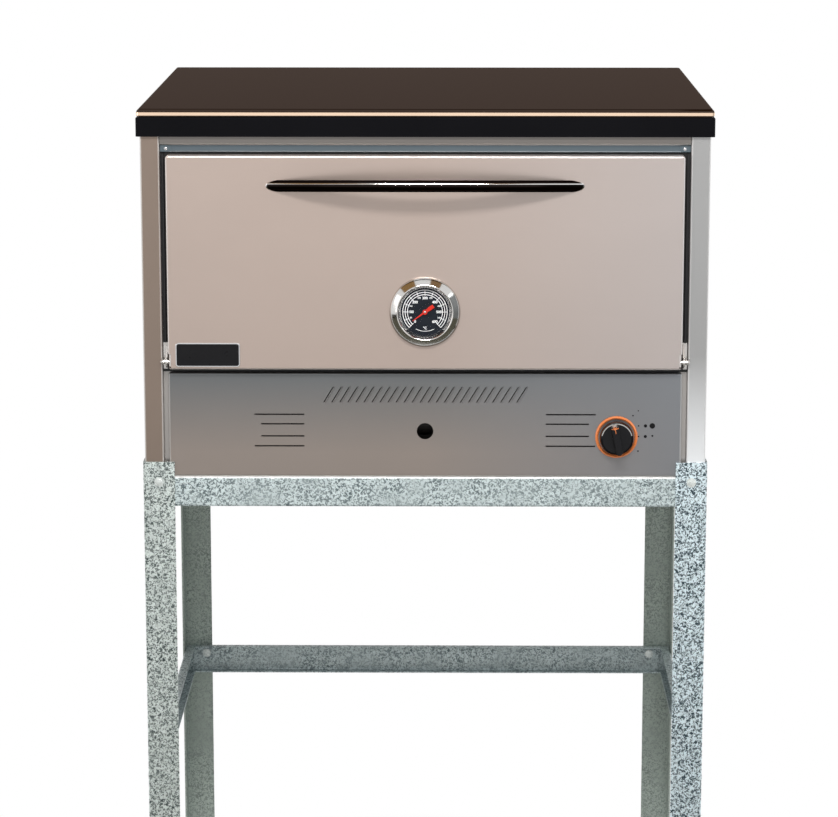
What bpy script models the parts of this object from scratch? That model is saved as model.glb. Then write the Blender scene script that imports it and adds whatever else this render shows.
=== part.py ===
"""A free-standing gas deck oven: a folded-sheet oven body on a galvanised angle stand.

The front faces -Y, +X is to the right of someone standing before the oven, and the floor is at Z = 0.
Sizes are in metres. FACE_Y, the plane of the front posts, is the plane that depths are counted from.
"""

import math

import bmesh
import bpy
from mathutils import Vector

# Fits, sheets and folds
GAP = 0.0003  # left between two pieces that touch
RUNNING_FIT = 0.00005  # radial play of a pin or shaft that turns
SHEET = 0.0012
FOLD_RADIUS = 0.0008  # inside radius of a folded sheet
PAN_EDGE_RADIUS = 0.0022
PAN_CORNER_RADIUS = 0.0034
OVERRUN = 0.002  # how far every cutter runs past the faces it cuts
FOLD_STEPS = 3
CORNER_STEPS = 3
SIDES = 20

# Oven body
BODY_WIDTH = 0.675
BODY_DEPTH = 0.550
BODY_HEIGHT = 0.4325
POST_WIDTH = 0.0231
POST_LIP = 0.0124
REAR_FLANGE = 0.020
BASE_FLANGE = 0.015

# Stand
STAND_HEIGHT = 0.7817
LEG_WIDTH = 0.038
LEG_WALL = 0.002
LEG_LAP = 0.018  # how far the legs reach up over the oven body
RAIL_HEIGHT = 0.037
RAIL_LIP = 0.012
RAIL_WALL = 0.0015
BRACE_HEIGHT_SHARE = 0.5  # middle of the braces, as a share of the leg's length

# Lid
LID_OVERHANG = 0.0045
LID_BAND_HEIGHT = 0.023
LID_GROOVE_HEIGHT = 0.0013
LID_GROOVE_DEPTH = 0.003
LID_PLATE_THICKNESS = 0.0082
LID_PLATE_INSET = 0.00125
LID_PLATE_ROUNDING = 0.0036
LID_CORNER_RADIUS = 0.0045

# Header over the door
HEADER_DROP = 0.010  # visible height of its proud face
STRIP_HEIGHT = 0.0097
STRIP_SETBACK = 0.005
STRIP_LUG_WIDTH = 0.0125
STRIP_LUG_THICKNESS = 0.0010

# Control panel
PANEL_HEIGHT = 0.127
PANEL_SIDE_GAP = 0.0064
LOUVRE_COUNT = 25
LOUVRE_PITCH = 0.00965
LOUVRE_BASE = 0.0913  # lower ends, above the panel's lower edge
LOUVRE_HEIGHT = 0.019
LOUVRE_LEAN = 0.0115
LOUVRE_SLIT = 0.0013
VENT_REACH = 0.085  # inner ends, from the knob's axis towards the middle
VENT_LONG = 0.060
VENT_SHORT = 0.052
VENT_SLIT = 0.0017
VENT_HEIGHT_SHARES = (0.602, 0.510, 0.393, 0.297)  # of the panel's height, the first and last are long
LIGHT_HOLE_HEIGHT = 0.056
LIGHT_HOLE_RADIUS = 0.010

# Mouth behind the door
MOUTH_SIDE_INSET = 0.0244  # inside the posts' inner edges
MOUTH_SILL_RISE = 0.003  # above the hinge axis
MOUTH_HEAD_DEPTH = 0.0133  # below the header's lip
MOUTH_LIP_REACH = 0.0066
MOUTH_LIP_INSET = 0.0028

# Door
DOOR_TOP_GAP = 0.0016
DOOR_BOTTOM_GAP = 0.0065
DOOR_SIDE_GAP = 0.0078
DOOR_PROUD = 0.014  # front face in front of the posts
DOOR_TUCK = 0.004  # rim behind the front of the posts
PLUG_DEPTH = 0.018
PLUG_SIDE_CLEARANCE = 0.004
PLUG_END_CLEARANCE = 0.0031
PLUG_ROUNDING = 0.004
LINER_RIM_GAP = 0.0026

# Hinge
HINGE_RISE = 0.0079  # axis above the door's lower edge
HINGE_BACK = 0.008  # axis behind the door's front face
SWING_CLEARANCE = 0.0013
PIN_RADIUS = 0.0025
PIN_DOME_RADIUS = 0.0028
PIN_TAIL = 0.0014  # inside the door plate
PIN_HEAD = 0.0065  # outside the ear
EAR_CLEARANCE = 0.0014
EAR_WALL = 0.002
EAR_NOSE = 0.0052
EAR_FOOT = 0.0036
EAR_RISE = 0.0216
HINGE_PLATE_WALL = 0.002
HINGE_PLATE_HEIGHT = 0.044
SLOT_WIDTH = 0.0034
SLOT_LENGTH = 0.0177
SLOT_BASE = 0.0013  # above the door's lower edge
SLOT_DEPTH = 0.0115
SLOT_ROUNDING = 0.0015

# Door handle
HANDLE_HEIGHT = 0.2205  # above the door's lower edge
HANDLE_CHORD = 0.344
HANDLE_BOW = 0.036
HANDLE_RADIUS = 0.007
HANDLE_TILT = 0.123  # rise for each unit of reach
HANDLE_STATIONS = 18
HANDLE_SIDES = 12

# Thermometer
THERMO_HEIGHT = 0.0705  # above the door's lower edge
BEZEL_RADIUS = 0.042
BEZEL_CREST_RADIUS = 0.0365
BEZEL_LIP_RADIUS = 0.0325
BEZEL_DEPTH = 0.0115
DIAL_RADIUS = 0.029
DIAL_THICKNESS = 0.0005
CASE_WALL = 0.0012
NEEDLE_THICKNESS = 0.0006
NEEDLE_LIFT = 0.0008
NEEDLE_LENGTH = 0.0182
NEEDLE_TAIL = 0.0125
NEEDLE_WIDTH = 0.0022
NEEDLE_HUB_RADIUS = 0.003
NEEDLE_SHAFT_RADIUS = 0.0008
NEEDLE_REST_ANGLE = math.radians(-126)  # clockwise from the top, a little past zero
GLASS_THICKNESS = 0.0011
GLASS_LIFT = 0.0009
STEM_RADIUS = 0.003
STEM_REACH = 0.059  # behind the door's front face
STEM_PLAY = 0.0005
NUT_RADIUS = 0.0075
NUT_SIDES = 6
NUT_THICKNESS = 0.004
THERMO_SIDES = 36

# Baking chamber
BACK_CAVITY = 0.050
LEDGE_WIDTH = 0.018
STONE_THICKNESS = 0.015
STONE_DROP = 0.006  # stone below the mouth's lower edge
STONE_MARGIN = 0.003
STONE_ROUNDING = 0.003
RACK_HEIGHT_SHARE = 0.5  # of the chamber above the stone
RUNNER_DEPTH = 0.008
RUNNER_HEIGHT = 0.006
RACK_WIRE_RADIUS = 0.0019
RACK_FRAME_RADIUS = 0.0028
RACK_BARS = 17
RACK_MARGIN = 0.004
RACK_CORNER = 0.020
ROOF_FLANGE = 0.010
BACK_FLANGE = 0.012
FLUE_COUNT = 5
FLUE_WIDTH = 0.060
FLUE_HEIGHT = 0.010
FLUE_DROP = 0.016
FLUE_PITCH = 0.090
DEFLECTOR_DROP = 0.020
DEFLECTOR_STEP = 0.040
DEFLECTOR_SLOT_COUNT = 9
DEFLECTOR_SLOT_WIDTH = 0.014
DEFLECTOR_SLOT_SHARE = 0.6  # of the pitch

# Rear panel
REAR_INSET = 0.0025
AIR_SLOT_COUNT = 10
AIR_SLOT_PITCH = 0.046
AIR_SLOT_WIDTH = 0.034
AIR_SLOT_HEIGHT = 0.005
AIR_SLOT_RISES = (0.030, 0.042, 0.054)

# Burner
TUBE_RADIUS = 0.0125
TUBE_WALL = 0.0015
TUBE_SETBACK = 0.042  # cross tube's axis behind the posts' front
ARM_SPREAD = 0.150
ARM_LENGTH = 0.400
ARM_FOOT_WALL = 0.002
ARM_FOOT_WIDTH = 0.020
ARM_FOOT_SHARE = 0.9  # of the arm's length
PORT_COUNT = 9
PORT_WIDTH = 0.0018
PORT_DEPTH = 0.006
CROSS_PORT_COUNT = 5
MIXER_LENGTH = 0.040
MIXER_MOUTH_RADIUS = 0.0135
MIXER_THROAT_RADIUS = 0.008
MIXER_THROAT_SHARE = 0.55
INJECTOR_RADIUS = 0.0055
INJECTOR_TIP_RADIUS = 0.0028
INJECTOR_BORE = 0.0008
INJECTOR_LENGTH = 0.017

# Gas valve, pipe and inlet
KNOB_INSET = 0.078  # from the panel's side edge
KNOB_HEIGHT = 0.0495
VALVE_CUP_RADIUS = 0.0115
VALVE_CUP_BORE = 0.0080
VALVE_CUP_DEPTH = 0.0155
VALVE_WIDTH = 0.028
VALVE_HEIGHT = 0.030
VALVE_DEPTH = 0.033
VALVE_OUTLET_RADIUS = 0.0075
VALVE_OUTLET_LENGTH = 0.010
VALVE_INLET_RADIUS = 0.008
VALVE_INLET_LENGTH = 0.010
PLUNGER_RADIUS = 0.0075
PLUNGER_THICKNESS = 0.003
PLUNGER_SHARE = 0.42
PIPE_RADIUS = 0.005
PIPE_WALL = 0.001
INLET_SHANK_RADIUS = 0.006
INLET_SHANK_LENGTH = 0.010
INLET_HEX_RADIUS = 0.011
INLET_HEX_LENGTH = 0.008
INLET_BARB_RADIUS = 0.0062
INLET_NOSE_RADIUS = 0.0052
INLET_BORE = 0.003
INLET_LENGTH = 0.028

# Knob
KNOB_TRAVEL = 0.005
KNOB_CLEARANCE = 0.001
KNOB_RADIUS = 0.0205
KNOB_SKIRT = 0.008
KNOB_GRIP_WIDTH = 0.0105
KNOB_GRIP_HEIGHT = 0.014
KNOB_GRIP_TILT = math.radians(-11)
KNOB_ROUNDING = 0.0016
RING_BORE_RADIUS = 0.0218
RING_RADIUS = 0.0255
RING_THICKNESS = 0.0032
SPINDLE_RADIUS = 0.004
SPINDLE_SEAT = 0.012  # how far it enters the knob
SPINDLE_PLAY = 0.001
SPINDLE_DEPTH = 0.035

# Places that follow from the sizes above
FRONT_REACH = DOOR_PROUD + HANDLE_BOW + HANDLE_RADIUS
FACE_Y = (FRONT_REACH - BODY_DEPTH - INLET_LENGTH) / 2
REAR_Y = FACE_Y + BODY_DEPTH
HALF_BODY = BODY_WIDTH / 2
BASE_Z = STAND_HEIGHT + GAP
SIDE_TOP_Z = BASE_Z + BODY_HEIGHT
BAND_TOP_Z = SIDE_TOP_Z + GAP + SHEET
BAND_BASE_Z = BAND_TOP_Z - LID_BAND_HEIGHT
LID_TOP_Z = BAND_TOP_Z + LID_GROOVE_HEIGHT + LID_PLATE_THICKNESS
LEG_TOP_Z = BASE_Z + LEG_LAP
POST_INNER = HALF_BODY - POST_WIDTH
HEADER_FACE_Z = BAND_BASE_Z - HEADER_DROP
HEADER_LIP_Z = HEADER_FACE_Z - STRIP_HEIGHT
PANEL_TOP_Z = BASE_Z + PANEL_HEIGHT
HALF_PANEL = POST_INNER - PANEL_SIDE_GAP
KNOB_X = HALF_PANEL - KNOB_INSET
VENT_INNER = KNOB_X - VENT_REACH
HALF_DOOR = POST_INNER - DOOR_SIDE_GAP
DOOR_BASE_Z = PANEL_TOP_Z + DOOR_BOTTOM_GAP
DOOR_TOP_Z = HEADER_LIP_Z - DOOR_TOP_GAP
DOOR_FRONT_Y = FACE_Y - DOOR_PROUD
DOOR_INNER_Y = DOOR_FRONT_Y + SHEET
DOOR_REAR_Y = FACE_Y + DOOR_TUCK
AXIS_Y = DOOR_FRONT_Y + HINGE_BACK
AXIS_Z = DOOR_BASE_Z + HINGE_RISE
MOUTH_Y = AXIS_Y + math.hypot(DOOR_REAR_Y - AXIS_Y, HINGE_RISE) + SWING_CLEARANCE
LIP_Y = MOUTH_Y + SHEET + GAP
HALF_MOUTH = POST_INNER - MOUTH_SIDE_INSET
MOUTH_BASE_Z = AXIS_Z + MOUTH_SILL_RISE
MOUTH_TOP_Z = HEADER_LIP_Z - MOUTH_HEAD_DEPTH
CHAMBER_FRONT_Y = LIP_Y
CHAMBER_BACK_Y = REAR_Y - BACK_CAVITY
STONE_TOP_Z = MOUTH_BASE_Z - STONE_DROP
STONE_BASE_Z = STONE_TOP_Z - STONE_THICKNESS
LEDGE_TOP_Z = STONE_BASE_Z - GAP
LINER_TOP_Z = MOUTH_TOP_Z - GAP
RUNNER_Z = STONE_TOP_Z + (MOUTH_TOP_Z - STONE_TOP_Z) * RACK_HEIGHT_SHARE
PAN_FLOOR_Z = BASE_Z + SHEET
BURNER_Y = FACE_Y + TUBE_SETBACK
BURNER_Z = BASE_Z + LIGHT_HOLE_HEIGHT
PANEL_BACK_Y = FACE_Y + SHEET
VALVE_Y = PANEL_BACK_Y + GAP + VALVE_CUP_DEPTH
VALVE_Z = BASE_Z + KNOB_HEIGHT
KNOB_BACK_Y = FACE_Y - KNOB_TRAVEL - KNOB_CLEARANCE
KNOB_TOP_Y = KNOB_BACK_Y - KNOB_SKIRT
THERMO_Z = DOOR_BASE_Z + THERMO_HEIGHT
CASE_BACK_Y = DOOR_FRONT_Y - GAP
DIAL_Y = CASE_BACK_Y - CASE_WALL - GAP - DIAL_THICKNESS
NEEDLE_Y = DIAL_Y - NEEDLE_LIFT
GLASS_Y = NEEDLE_Y - NEEDLE_THICKNESS - GLASS_LIFT


def finish(name, colour, roughness, metallic):
    """A plain surface in the colour of the real one."""
    made = bpy.data.materials.new(name)
    made.use_nodes = True
    shader = made.node_tree.nodes["Principled BSDF"]
    shader.inputs["Base Color"].default_value = (*colour, 1)
    shader.inputs["Roughness"].default_value = roughness
    shader.inputs["Metallic"].default_value = metallic
    made.diffuse_color = (*colour, 1)
    return made


def spot(axis, across, up, along):
    """A point from its place in the plane square to an axis and its place along that axis."""
    return {"X": (along, across, up), "Y": (across, along, up), "Z": (across, up, along)}[axis]


def solid(name, shape, surface):
    """One sub-part: a closed body with its faces outwards, shaded smooth between its creases."""
    bmesh.ops.recalc_face_normals(shape, faces=shape.faces)
    mesh = bpy.data.meshes.new(name)
    shape.to_mesh(mesh)
    shape.free()
    mesh.materials.append(surface)
    mesh.shade_smooth()
    mesh.set_sharp_from_angle(angle=math.radians(35))
    made = bpy.data.objects.new(name, mesh)
    bpy.context.collection.objects.link(made)
    return made


def hidden_tool(name, shape):
    """A shape that only cuts or extends a sub-part."""
    bmesh.ops.recalc_face_normals(shape, faces=shape.faces)
    mesh = bpy.data.meshes.new(name)
    shape.to_mesh(mesh)
    shape.free()
    made = bpy.data.objects.new(name, mesh)
    made.hide_render = True
    made.display_type = "WIRE"
    bpy.context.collection.objects.link(made)
    return made


def combine(part, shape, operation):
    """Cut a shape out of a sub-part, or join one to it."""
    count = len(part.modifiers)
    tool = hidden_tool(f"{part.name}_{operation.lower()}_{count}", shape)
    step = part.modifiers.new(tool.name, "BOOLEAN")
    step.operation = operation
    step.solver = "EXACT"
    step.object = tool


def cut(part, shape):
    combine(part, shape, "DIFFERENCE")


def join(part, shape):
    combine(part, shape, "UNION")


def hang_on(pivot, parts):
    """Parent sub-parts, with the tools that shape them, to an empty on their joint's axis."""
    for part in parts:
        tools = [step.object for step in part.modifiers if step.type == "BOOLEAN"]
        for thing in [part, *tools]:
            for vertex in thing.data.vertices:
                vertex.co -= pivot.matrix_world.translation
            thing.parent = pivot


def pivot_at(name, place):
    made = bpy.data.objects.new(name, None)
    made.location = place
    bpy.context.collection.objects.link(made)
    bpy.context.view_layer.update()
    return made


def prisms(outlines, axis, low, high):
    """Straight prisms over outlines in the plane square to an axis."""
    shape = bmesh.new()
    for outline in outlines:
        bottom = [shape.verts.new(spot(axis, across, up, low)) for across, up in outline]
        top = [shape.verts.new(spot(axis, across, up, high)) for across, up in outline]
        shape.faces.new(bottom)
        shape.faces.new(top)
        for index in range(len(outline)):
            after = (index + 1) % len(outline)
            shape.faces.new((bottom[index], bottom[after], top[after], top[index]))
    return shape


def rectangle(left, right, low, high):
    return [(left, low), (right, low), (right, high), (left, high)]


def rounded_rectangle(left, right, low, high, radius):
    """A rectangle's outline with every corner an arc."""
    outline = []
    corners = ((right - radius, high - radius), (left + radius, high - radius),
               (left + radius, low + radius), (right - radius, low + radius))
    for quarter, (across, up) in enumerate(corners):
        for step in range(CORNER_STEPS + 1):
            angle = math.pi / 2 * (quarter + step / CORNER_STEPS)
            outline.append((across + radius * math.cos(angle), up + radius * math.sin(angle)))
    return outline


def stack(rings, axis):
    """A closed body through outlines of equal count, each at its place along the axis."""
    shape = bmesh.new()
    rows = [[shape.verts.new(spot(axis, across, up, along)) for across, up in outline]
            for outline, along in rings]
    shape.faces.new(rows[0])
    shape.faces.new(rows[-1])
    for row, following in zip(rows, rows[1:]):
        for index in range(len(row)):
            after = (index + 1) % len(row)
            shape.faces.new((row[index], row[after], following[after], following[index]))
    return shape


def folded_pan(sides, axis, face, mouth, wall=SHEET):
    """A sheet pan with folded walls: its face lies at one end of the axis and it is open at the other."""
    left, right, low, high = sides
    inward = math.copysign(1, mouth - face)

    def ring(inset, along):
        radius = max(PAN_CORNER_RADIUS - inset, PAN_CORNER_RADIUS / 4)
        return rounded_rectangle(left + inset, right - inset, low + inset, high - inset, radius), along

    rings = [ring(wall, face + inward * wall), ring(wall, mouth), ring(0, mouth)]
    for step in range(FOLD_STEPS + 1):
        angle = math.pi / 2 * step / FOLD_STEPS
        inset = PAN_EDGE_RADIUS * (1 - math.cos(angle))
        rings.append(ring(inset, face + inward * PAN_EDGE_RADIUS * (1 - math.sin(angle))))
    return stack(rings, axis)


def folded_sheet(path, axis, low, high, wall=SHEET, mirrored=False):
    """A sheet folded along a path and as long as the axis allows. The path is one face of the sheet,
    which lies to the right of it, and every corner of the path becomes a fold."""
    points = [Vector(point) for point in path]
    near = []
    far = []

    def add(point, direction):
        near.append(point)
        far.append(point + Vector((direction.y, -direction.x)) * wall)

    for index, corner in enumerate(points):
        into = (corner - points[index - 1]).normalized() if index else None
        away = (points[index + 1] - corner).normalized() if index + 1 < len(points) else None
        if into is None or away is None:
            add(corner, into or away)
            continue
        turn = math.atan2(into.cross(away), into.dot(away))
        radius = FOLD_RADIUS if turn > 0 else FOLD_RADIUS + wall
        start = corner - into * radius * math.tan(abs(turn) / 2)
        to_centre = Vector((-into.y, into.x)) * math.copysign(radius, turn)
        for step in range(FOLD_STEPS + 1):
            angle = turn * step / FOLD_STEPS
            across = Vector((into.x * math.cos(angle) - into.y * math.sin(angle),
                             into.x * math.sin(angle) + into.y * math.cos(angle)))
            outward = Vector((across.y, -across.x)) * math.copysign(radius, turn)
            add(start + to_centre + outward, across)

    shape = bmesh.new()
    side = -1 if mirrored else 1
    rows = []
    for first, second in zip(near, far):
        row = []
        for point, along in ((first, low), (second, low), (second, high), (first, high)):
            x, y, z = spot(axis, point.x, point.y, along)
            row.append(shape.verts.new((side * x, y, z)))
        rows.append(row)
    shape.faces.new(rows[0])
    shape.faces.new(rows[-1])
    for row, following in zip(rows, rows[1:]):
        for index in range(4):
            after = (index + 1) % 4
            shape.faces.new((row[index], row[after], following[after], following[index]))
    return shape


def turned(profile, axis, centre, sides=SIDES):
    """A turned body. The profile is (radius, place along the axis); off the axis it makes a ring."""
    shape = bmesh.new()
    rows = []
    for radius, along in profile:
        count = sides if radius else 1
        row = []
        for index in range(count):
            angle = 2 * math.pi * index / count
            across = centre[0] + radius * math.cos(angle)
            up = centre[1] + radius * math.sin(angle)
            row.append(shape.verts.new(spot(axis, across, up, along)))
        rows.append(row)
    pairs = list(zip(rows, rows[1:]))
    if profile[0][0] and profile[-1][0]:
        pairs.append((rows[-1], rows[0]))
    for row, following in pairs:
        for index in range(sides):
            after = index + 1
            corners = (row[index % len(row)], row[after % len(row)],
                       following[after % len(following)], following[index % len(following)])
            shape.faces.new(list(dict.fromkeys(corners)))
    return shape


def rod(axis, centre, radius, low, high, sides=SIDES):
    return turned([(0, low), (radius, low), (radius, high), (0, high)], axis, centre, sides)


def around(radius, sides=SIDES):
    """The corner radius of a drawn circle whose flats lie at the wanted radius, for a bore."""
    return radius / math.cos(math.pi / sides)


def tube(axis, centre, radius, bore, low, high, sides=SIDES):
    bore = around(bore, sides)
    return turned([(bore, low), (radius, low), (radius, high), (bore, high)], axis, centre, sides)


def box(low, high):
    return prisms([rectangle(low[0], high[0], low[1], high[1])], "Z", low[2], high[2])


def boxes(pairs):
    """Several boxes in one shape, none touching another."""
    shape = bmesh.new()
    for low, high in pairs:
        outline = rectangle(low[0], high[0], low[1], high[1])
        bottom = [shape.verts.new((x, y, low[2])) for x, y in outline]
        top = [shape.verts.new((x, y, high[2])) for x, y in outline]
        shape.faces.new(bottom)
        shape.faces.new(top)
        for index in range(4):
            after = (index + 1) % 4
            shape.faces.new((bottom[index], bottom[after], top[after], top[index]))
    return shape


def spread(count, pitch):
    """Places of a row of equal pitch, centred on zero."""
    return [(index - (count - 1) / 2) * pitch for index in range(count)]


def make_legs(zinc):
    """Four angle legs. Each wraps one corner of the oven body and laps over its lower edge."""
    inner = HALF_BODY + GAP
    outer = inner + LEG_WALL
    for end, face, back in (("front", FACE_Y - GAP, 1), ("rear", REAR_Y + GAP, -1)):
        skin = face - back * LEG_WALL
        path = [(outer, skin + back * LEG_WIDTH), (outer, skin), (outer - LEG_WIDTH, skin)]
        if back < 0:
            path.reverse()
        for side, mirrored in (("right", False), ("left", True)):
            shape = folded_sheet(path, "Z", 0, LEG_TOP_Z, LEG_WALL, mirrored)
            solid(f"leg_{end}_{side}", shape, zinc)


def channel_path(web, inward, top):
    """A channel's section: lips point inward from the top and bottom of its web."""
    path = [(web + inward * RAIL_LIP, top), (web, top), (web, top - RAIL_HEIGHT),
            (web + inward * RAIL_LIP, top - RAIL_HEIGHT)]
    if inward > 0:
        path.reverse()
    return path


def make_channels(zinc):
    """Rails right under the oven, and braces at mid height on three sides. The front stays open below."""
    brace_top = LEG_TOP_Z * BRACE_HEIGHT_SHARE + RAIL_HEIGHT / 2
    side_start = FACE_Y + RAIL_LIP + GAP
    side_end = REAR_Y - RAIL_LIP - GAP
    for kind, top in (("rail", STAND_HEIGHT), ("brace", brace_top)):
        rear = folded_sheet(channel_path(REAR_Y, -1, top), "X", -HALF_BODY, HALF_BODY, RAIL_WALL)
        solid(f"{kind}_rear", rear, zinc)
        start = side_start if kind == "rail" else FACE_Y
        for side, mirrored in (("right", False), ("left", True)):
            shape = folded_sheet(channel_path(HALF_BODY, -1, top), "Y", start, side_end, RAIL_WALL, mirrored)
            solid(f"{kind}_{side}", shape, zinc)
    front = folded_sheet(channel_path(FACE_Y, 1, STAND_HEIGHT), "X", -HALF_BODY, HALF_BODY, RAIL_WALL)
    solid("rail_front", front, zinc)


def make_side_panels(steel):
    """Each side panel is one sheet: rear flange, outer wall, front post, its return and a lip behind."""
    rear = REAR_Y - SHEET - GAP
    path = [(HALF_BODY - REAR_FLANGE, rear), (HALF_BODY, rear), (HALF_BODY, FACE_Y), (POST_INNER, FACE_Y),
            (POST_INNER, LIP_Y), (POST_INNER - POST_LIP, LIP_Y)]
    for side, mirrored in (("right", False), ("left", True)):
        solid(f"side_panel_{side}", folded_sheet(path, "Z", BASE_Z, SIDE_TOP_Z, SHEET, mirrored), steel)


def make_rear_panel(steel):
    """A flat panel with air slots low down, flue slots near the top and a hole for the gas inlet."""
    half = HALF_BODY - REAR_INSET
    outline = rectangle(-half, half, BASE_Z, SIDE_TOP_Z)
    panel = solid("rear_panel", prisms([outline], "Y", REAR_Y - SHEET, REAR_Y), steel)
    slots = []
    for rise in AIR_SLOT_RISES:
        for middle in spread(AIR_SLOT_COUNT, AIR_SLOT_PITCH):
            low = BASE_Z + rise
            slots.append(rectangle(middle - AIR_SLOT_WIDTH / 2, middle + AIR_SLOT_WIDTH / 2,
                                   low, low + AIR_SLOT_HEIGHT))
    slots += flue_outlines()
    kept = [slot for slot in slots
            if min(abs(slot[0][0] - KNOB_X), abs(slot[1][0] - KNOB_X)) > INLET_HEX_RADIUS]
    cut(panel, prisms(kept, "Y", REAR_Y - SHEET - OVERRUN, REAR_Y + OVERRUN))
    hole = around(INLET_SHANK_RADIUS + STEM_PLAY)
    cut(panel, rod("Y", (KNOB_X, VALVE_Z), hole, REAR_Y - SHEET - OVERRUN, REAR_Y + OVERRUN))


def flue_outlines():
    top = MOUTH_TOP_Z - FLUE_DROP
    return [rectangle(middle - FLUE_WIDTH / 2, middle + FLUE_WIDTH / 2, top - FLUE_HEIGHT, top)
            for middle in spread(FLUE_COUNT, FLUE_PITCH)]


def make_base_pan(steel):
    """The floor of the burner space, between the control panel's lower fold and the rear panel."""
    half = HALF_BODY - SHEET - GAP
    path = [(-half, BASE_Z + BASE_FLANGE), (-half, BASE_Z), (half, BASE_Z), (half, BASE_Z + BASE_FLANGE)]
    path.reverse()
    start = LIP_Y + SHEET + GAP
    solid("base_pan", folded_sheet(path, "Y", start, REAR_Y - SHEET - GAP * 2 - SHEET), steel)


def make_header(steel):
    """A stepped cross-member over the door: a proud face, then a recessed strip with a lug at each end."""
    strip_y = FACE_Y + STRIP_SETBACK
    path = [(LIP_Y - GAP, HEADER_LIP_Z), (strip_y, HEADER_LIP_Z), (strip_y, HEADER_FACE_Z),
            (FACE_Y, HEADER_FACE_Z), (FACE_Y, SIDE_TOP_Z)]
    half = POST_INNER - GAP
    header = solid("header", folded_sheet(path, "X", -half, half), steel)
    lugs = []
    low = HEADER_LIP_Z + SHEET
    high = HEADER_FACE_Z - SHEET / 2
    for side in (-1, 1):
        ends = sorted((side * (half - SHEET / 2), side * (half - STRIP_LUG_WIDTH)))
        lugs.append(((ends[0], strip_y - STRIP_LUG_THICKNESS, low), (ends[1], strip_y + SHEET / 2, high)))
    join(header, boxes(lugs))


def make_mouth_frame(steel):
    """The flat ring that the door closes on, with a slim lip standing forward in each side gap."""
    half = POST_INNER - GAP
    low = PANEL_TOP_Z + GAP
    high = HEADER_LIP_Z - GAP
    outer = rectangle(-half, half, low, high)
    frame = solid("mouth_frame", prisms([outer], "Y", MOUTH_Y, MOUTH_Y + SHEET), steel)
    opening = rounded_rectangle(-HALF_MOUTH, HALF_MOUTH, MOUTH_BASE_Z, MOUTH_TOP_Z, PLUG_ROUNDING)
    cut(frame, prisms([opening], "Y", MOUTH_Y - OVERRUN, MOUTH_Y + SHEET + OVERRUN))
    lips = []
    for side in (-1, 1):
        ends = sorted((side * (half - MOUTH_LIP_INSET), side * (half - MOUTH_LIP_INSET - SHEET)))
        lips.append(((ends[0], MOUTH_Y - MOUTH_LIP_REACH, AXIS_Z + EAR_RISE + GAP * 2),
                     (ends[1], MOUTH_Y + SHEET / 2, high - SHEET)))
    join(frame, boxes(lips))


def make_control_panel(steel):
    """The panel under the door: leaning louvre cuts, four vents a side, a lighting hole and a knob."""
    sides = (-HALF_PANEL, HALF_PANEL, BASE_Z, PANEL_TOP_Z)
    panel = solid("control_panel", folded_pan(sides, "Y", FACE_Y, LIP_Y - GAP), steel)
    front = FACE_Y - OVERRUN
    back = PANEL_BACK_Y + OVERRUN
    low = BASE_Z + LOUVRE_BASE
    high = low + LOUVRE_HEIGHT
    louvres = []
    for middle in spread(LOUVRE_COUNT, LOUVRE_PITCH):
        foot = middle - LOUVRE_LEAN / 2
        head = middle + LOUVRE_LEAN / 2
        louvres.append([(foot - LOUVRE_SLIT / 2, low), (foot + LOUVRE_SLIT / 2, low),
                        (head + LOUVRE_SLIT / 2, high), (head - LOUVRE_SLIT / 2, high)])
    cut(panel, prisms(louvres, "Y", front, back))
    vents = []
    for index, share in enumerate(VENT_HEIGHT_SHARES):
        length = VENT_LONG if index in (0, len(VENT_HEIGHT_SHARES) - 1) else VENT_SHORT
        base = BASE_Z + PANEL_HEIGHT * share
        for side in (-1, 1):
            ends = sorted((side * VENT_INNER, side * (VENT_INNER + length)))
            vents.append(rounded_rectangle(*ends, base - VENT_SLIT / 2, base + VENT_SLIT / 2, VENT_SLIT / 3))
    cut(panel, prisms(vents, "Y", front, back))
    cut(panel, rod("Y", (0, BURNER_Z), LIGHT_HOLE_RADIUS, front, back))
    cut(panel, rod("Y", (KNOB_X, VALVE_Z), SPINDLE_RADIUS + SPINDLE_PLAY, front, back))


def make_lid(black, dark_glass):
    """A black pan over the body's top, and a thick bright-edged plate on it, set off by a narrow groove."""
    half = HALF_BODY + LID_OVERHANG
    front = FACE_Y - LID_OVERHANG
    back = REAR_Y + LID_OVERHANG
    solid("lid_pan", folded_pan((-half, half, front, back), "Z", BAND_TOP_Z, BAND_BASE_Z), black)

    def ring(inset, height):
        radius = max(LID_CORNER_RADIUS - inset, LID_CORNER_RADIUS / 4)
        return rounded_rectangle(-half + inset, half - inset, front + inset, back - inset, radius), height

    under = BAND_TOP_Z + LID_GROOVE_HEIGHT
    inset = LID_PLATE_INSET
    rounding = LID_PLATE_ROUNDING
    rings = [ring(inset + LID_GROOVE_DEPTH, BAND_TOP_Z + GAP), ring(inset + LID_GROOVE_DEPTH, under),
             ring(inset + GAP, under), ring(inset, under + GAP)]
    for step in range(FOLD_STEPS + 1):
        angle = math.pi / 2 * step / FOLD_STEPS
        inward = inset + rounding * (1 - math.cos(angle))
        rings.append(ring(inward, LID_TOP_Z - rounding * (1 - math.sin(angle))))
    solid("lid_plate", stack(rings, "Z"), dark_glass)


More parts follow.
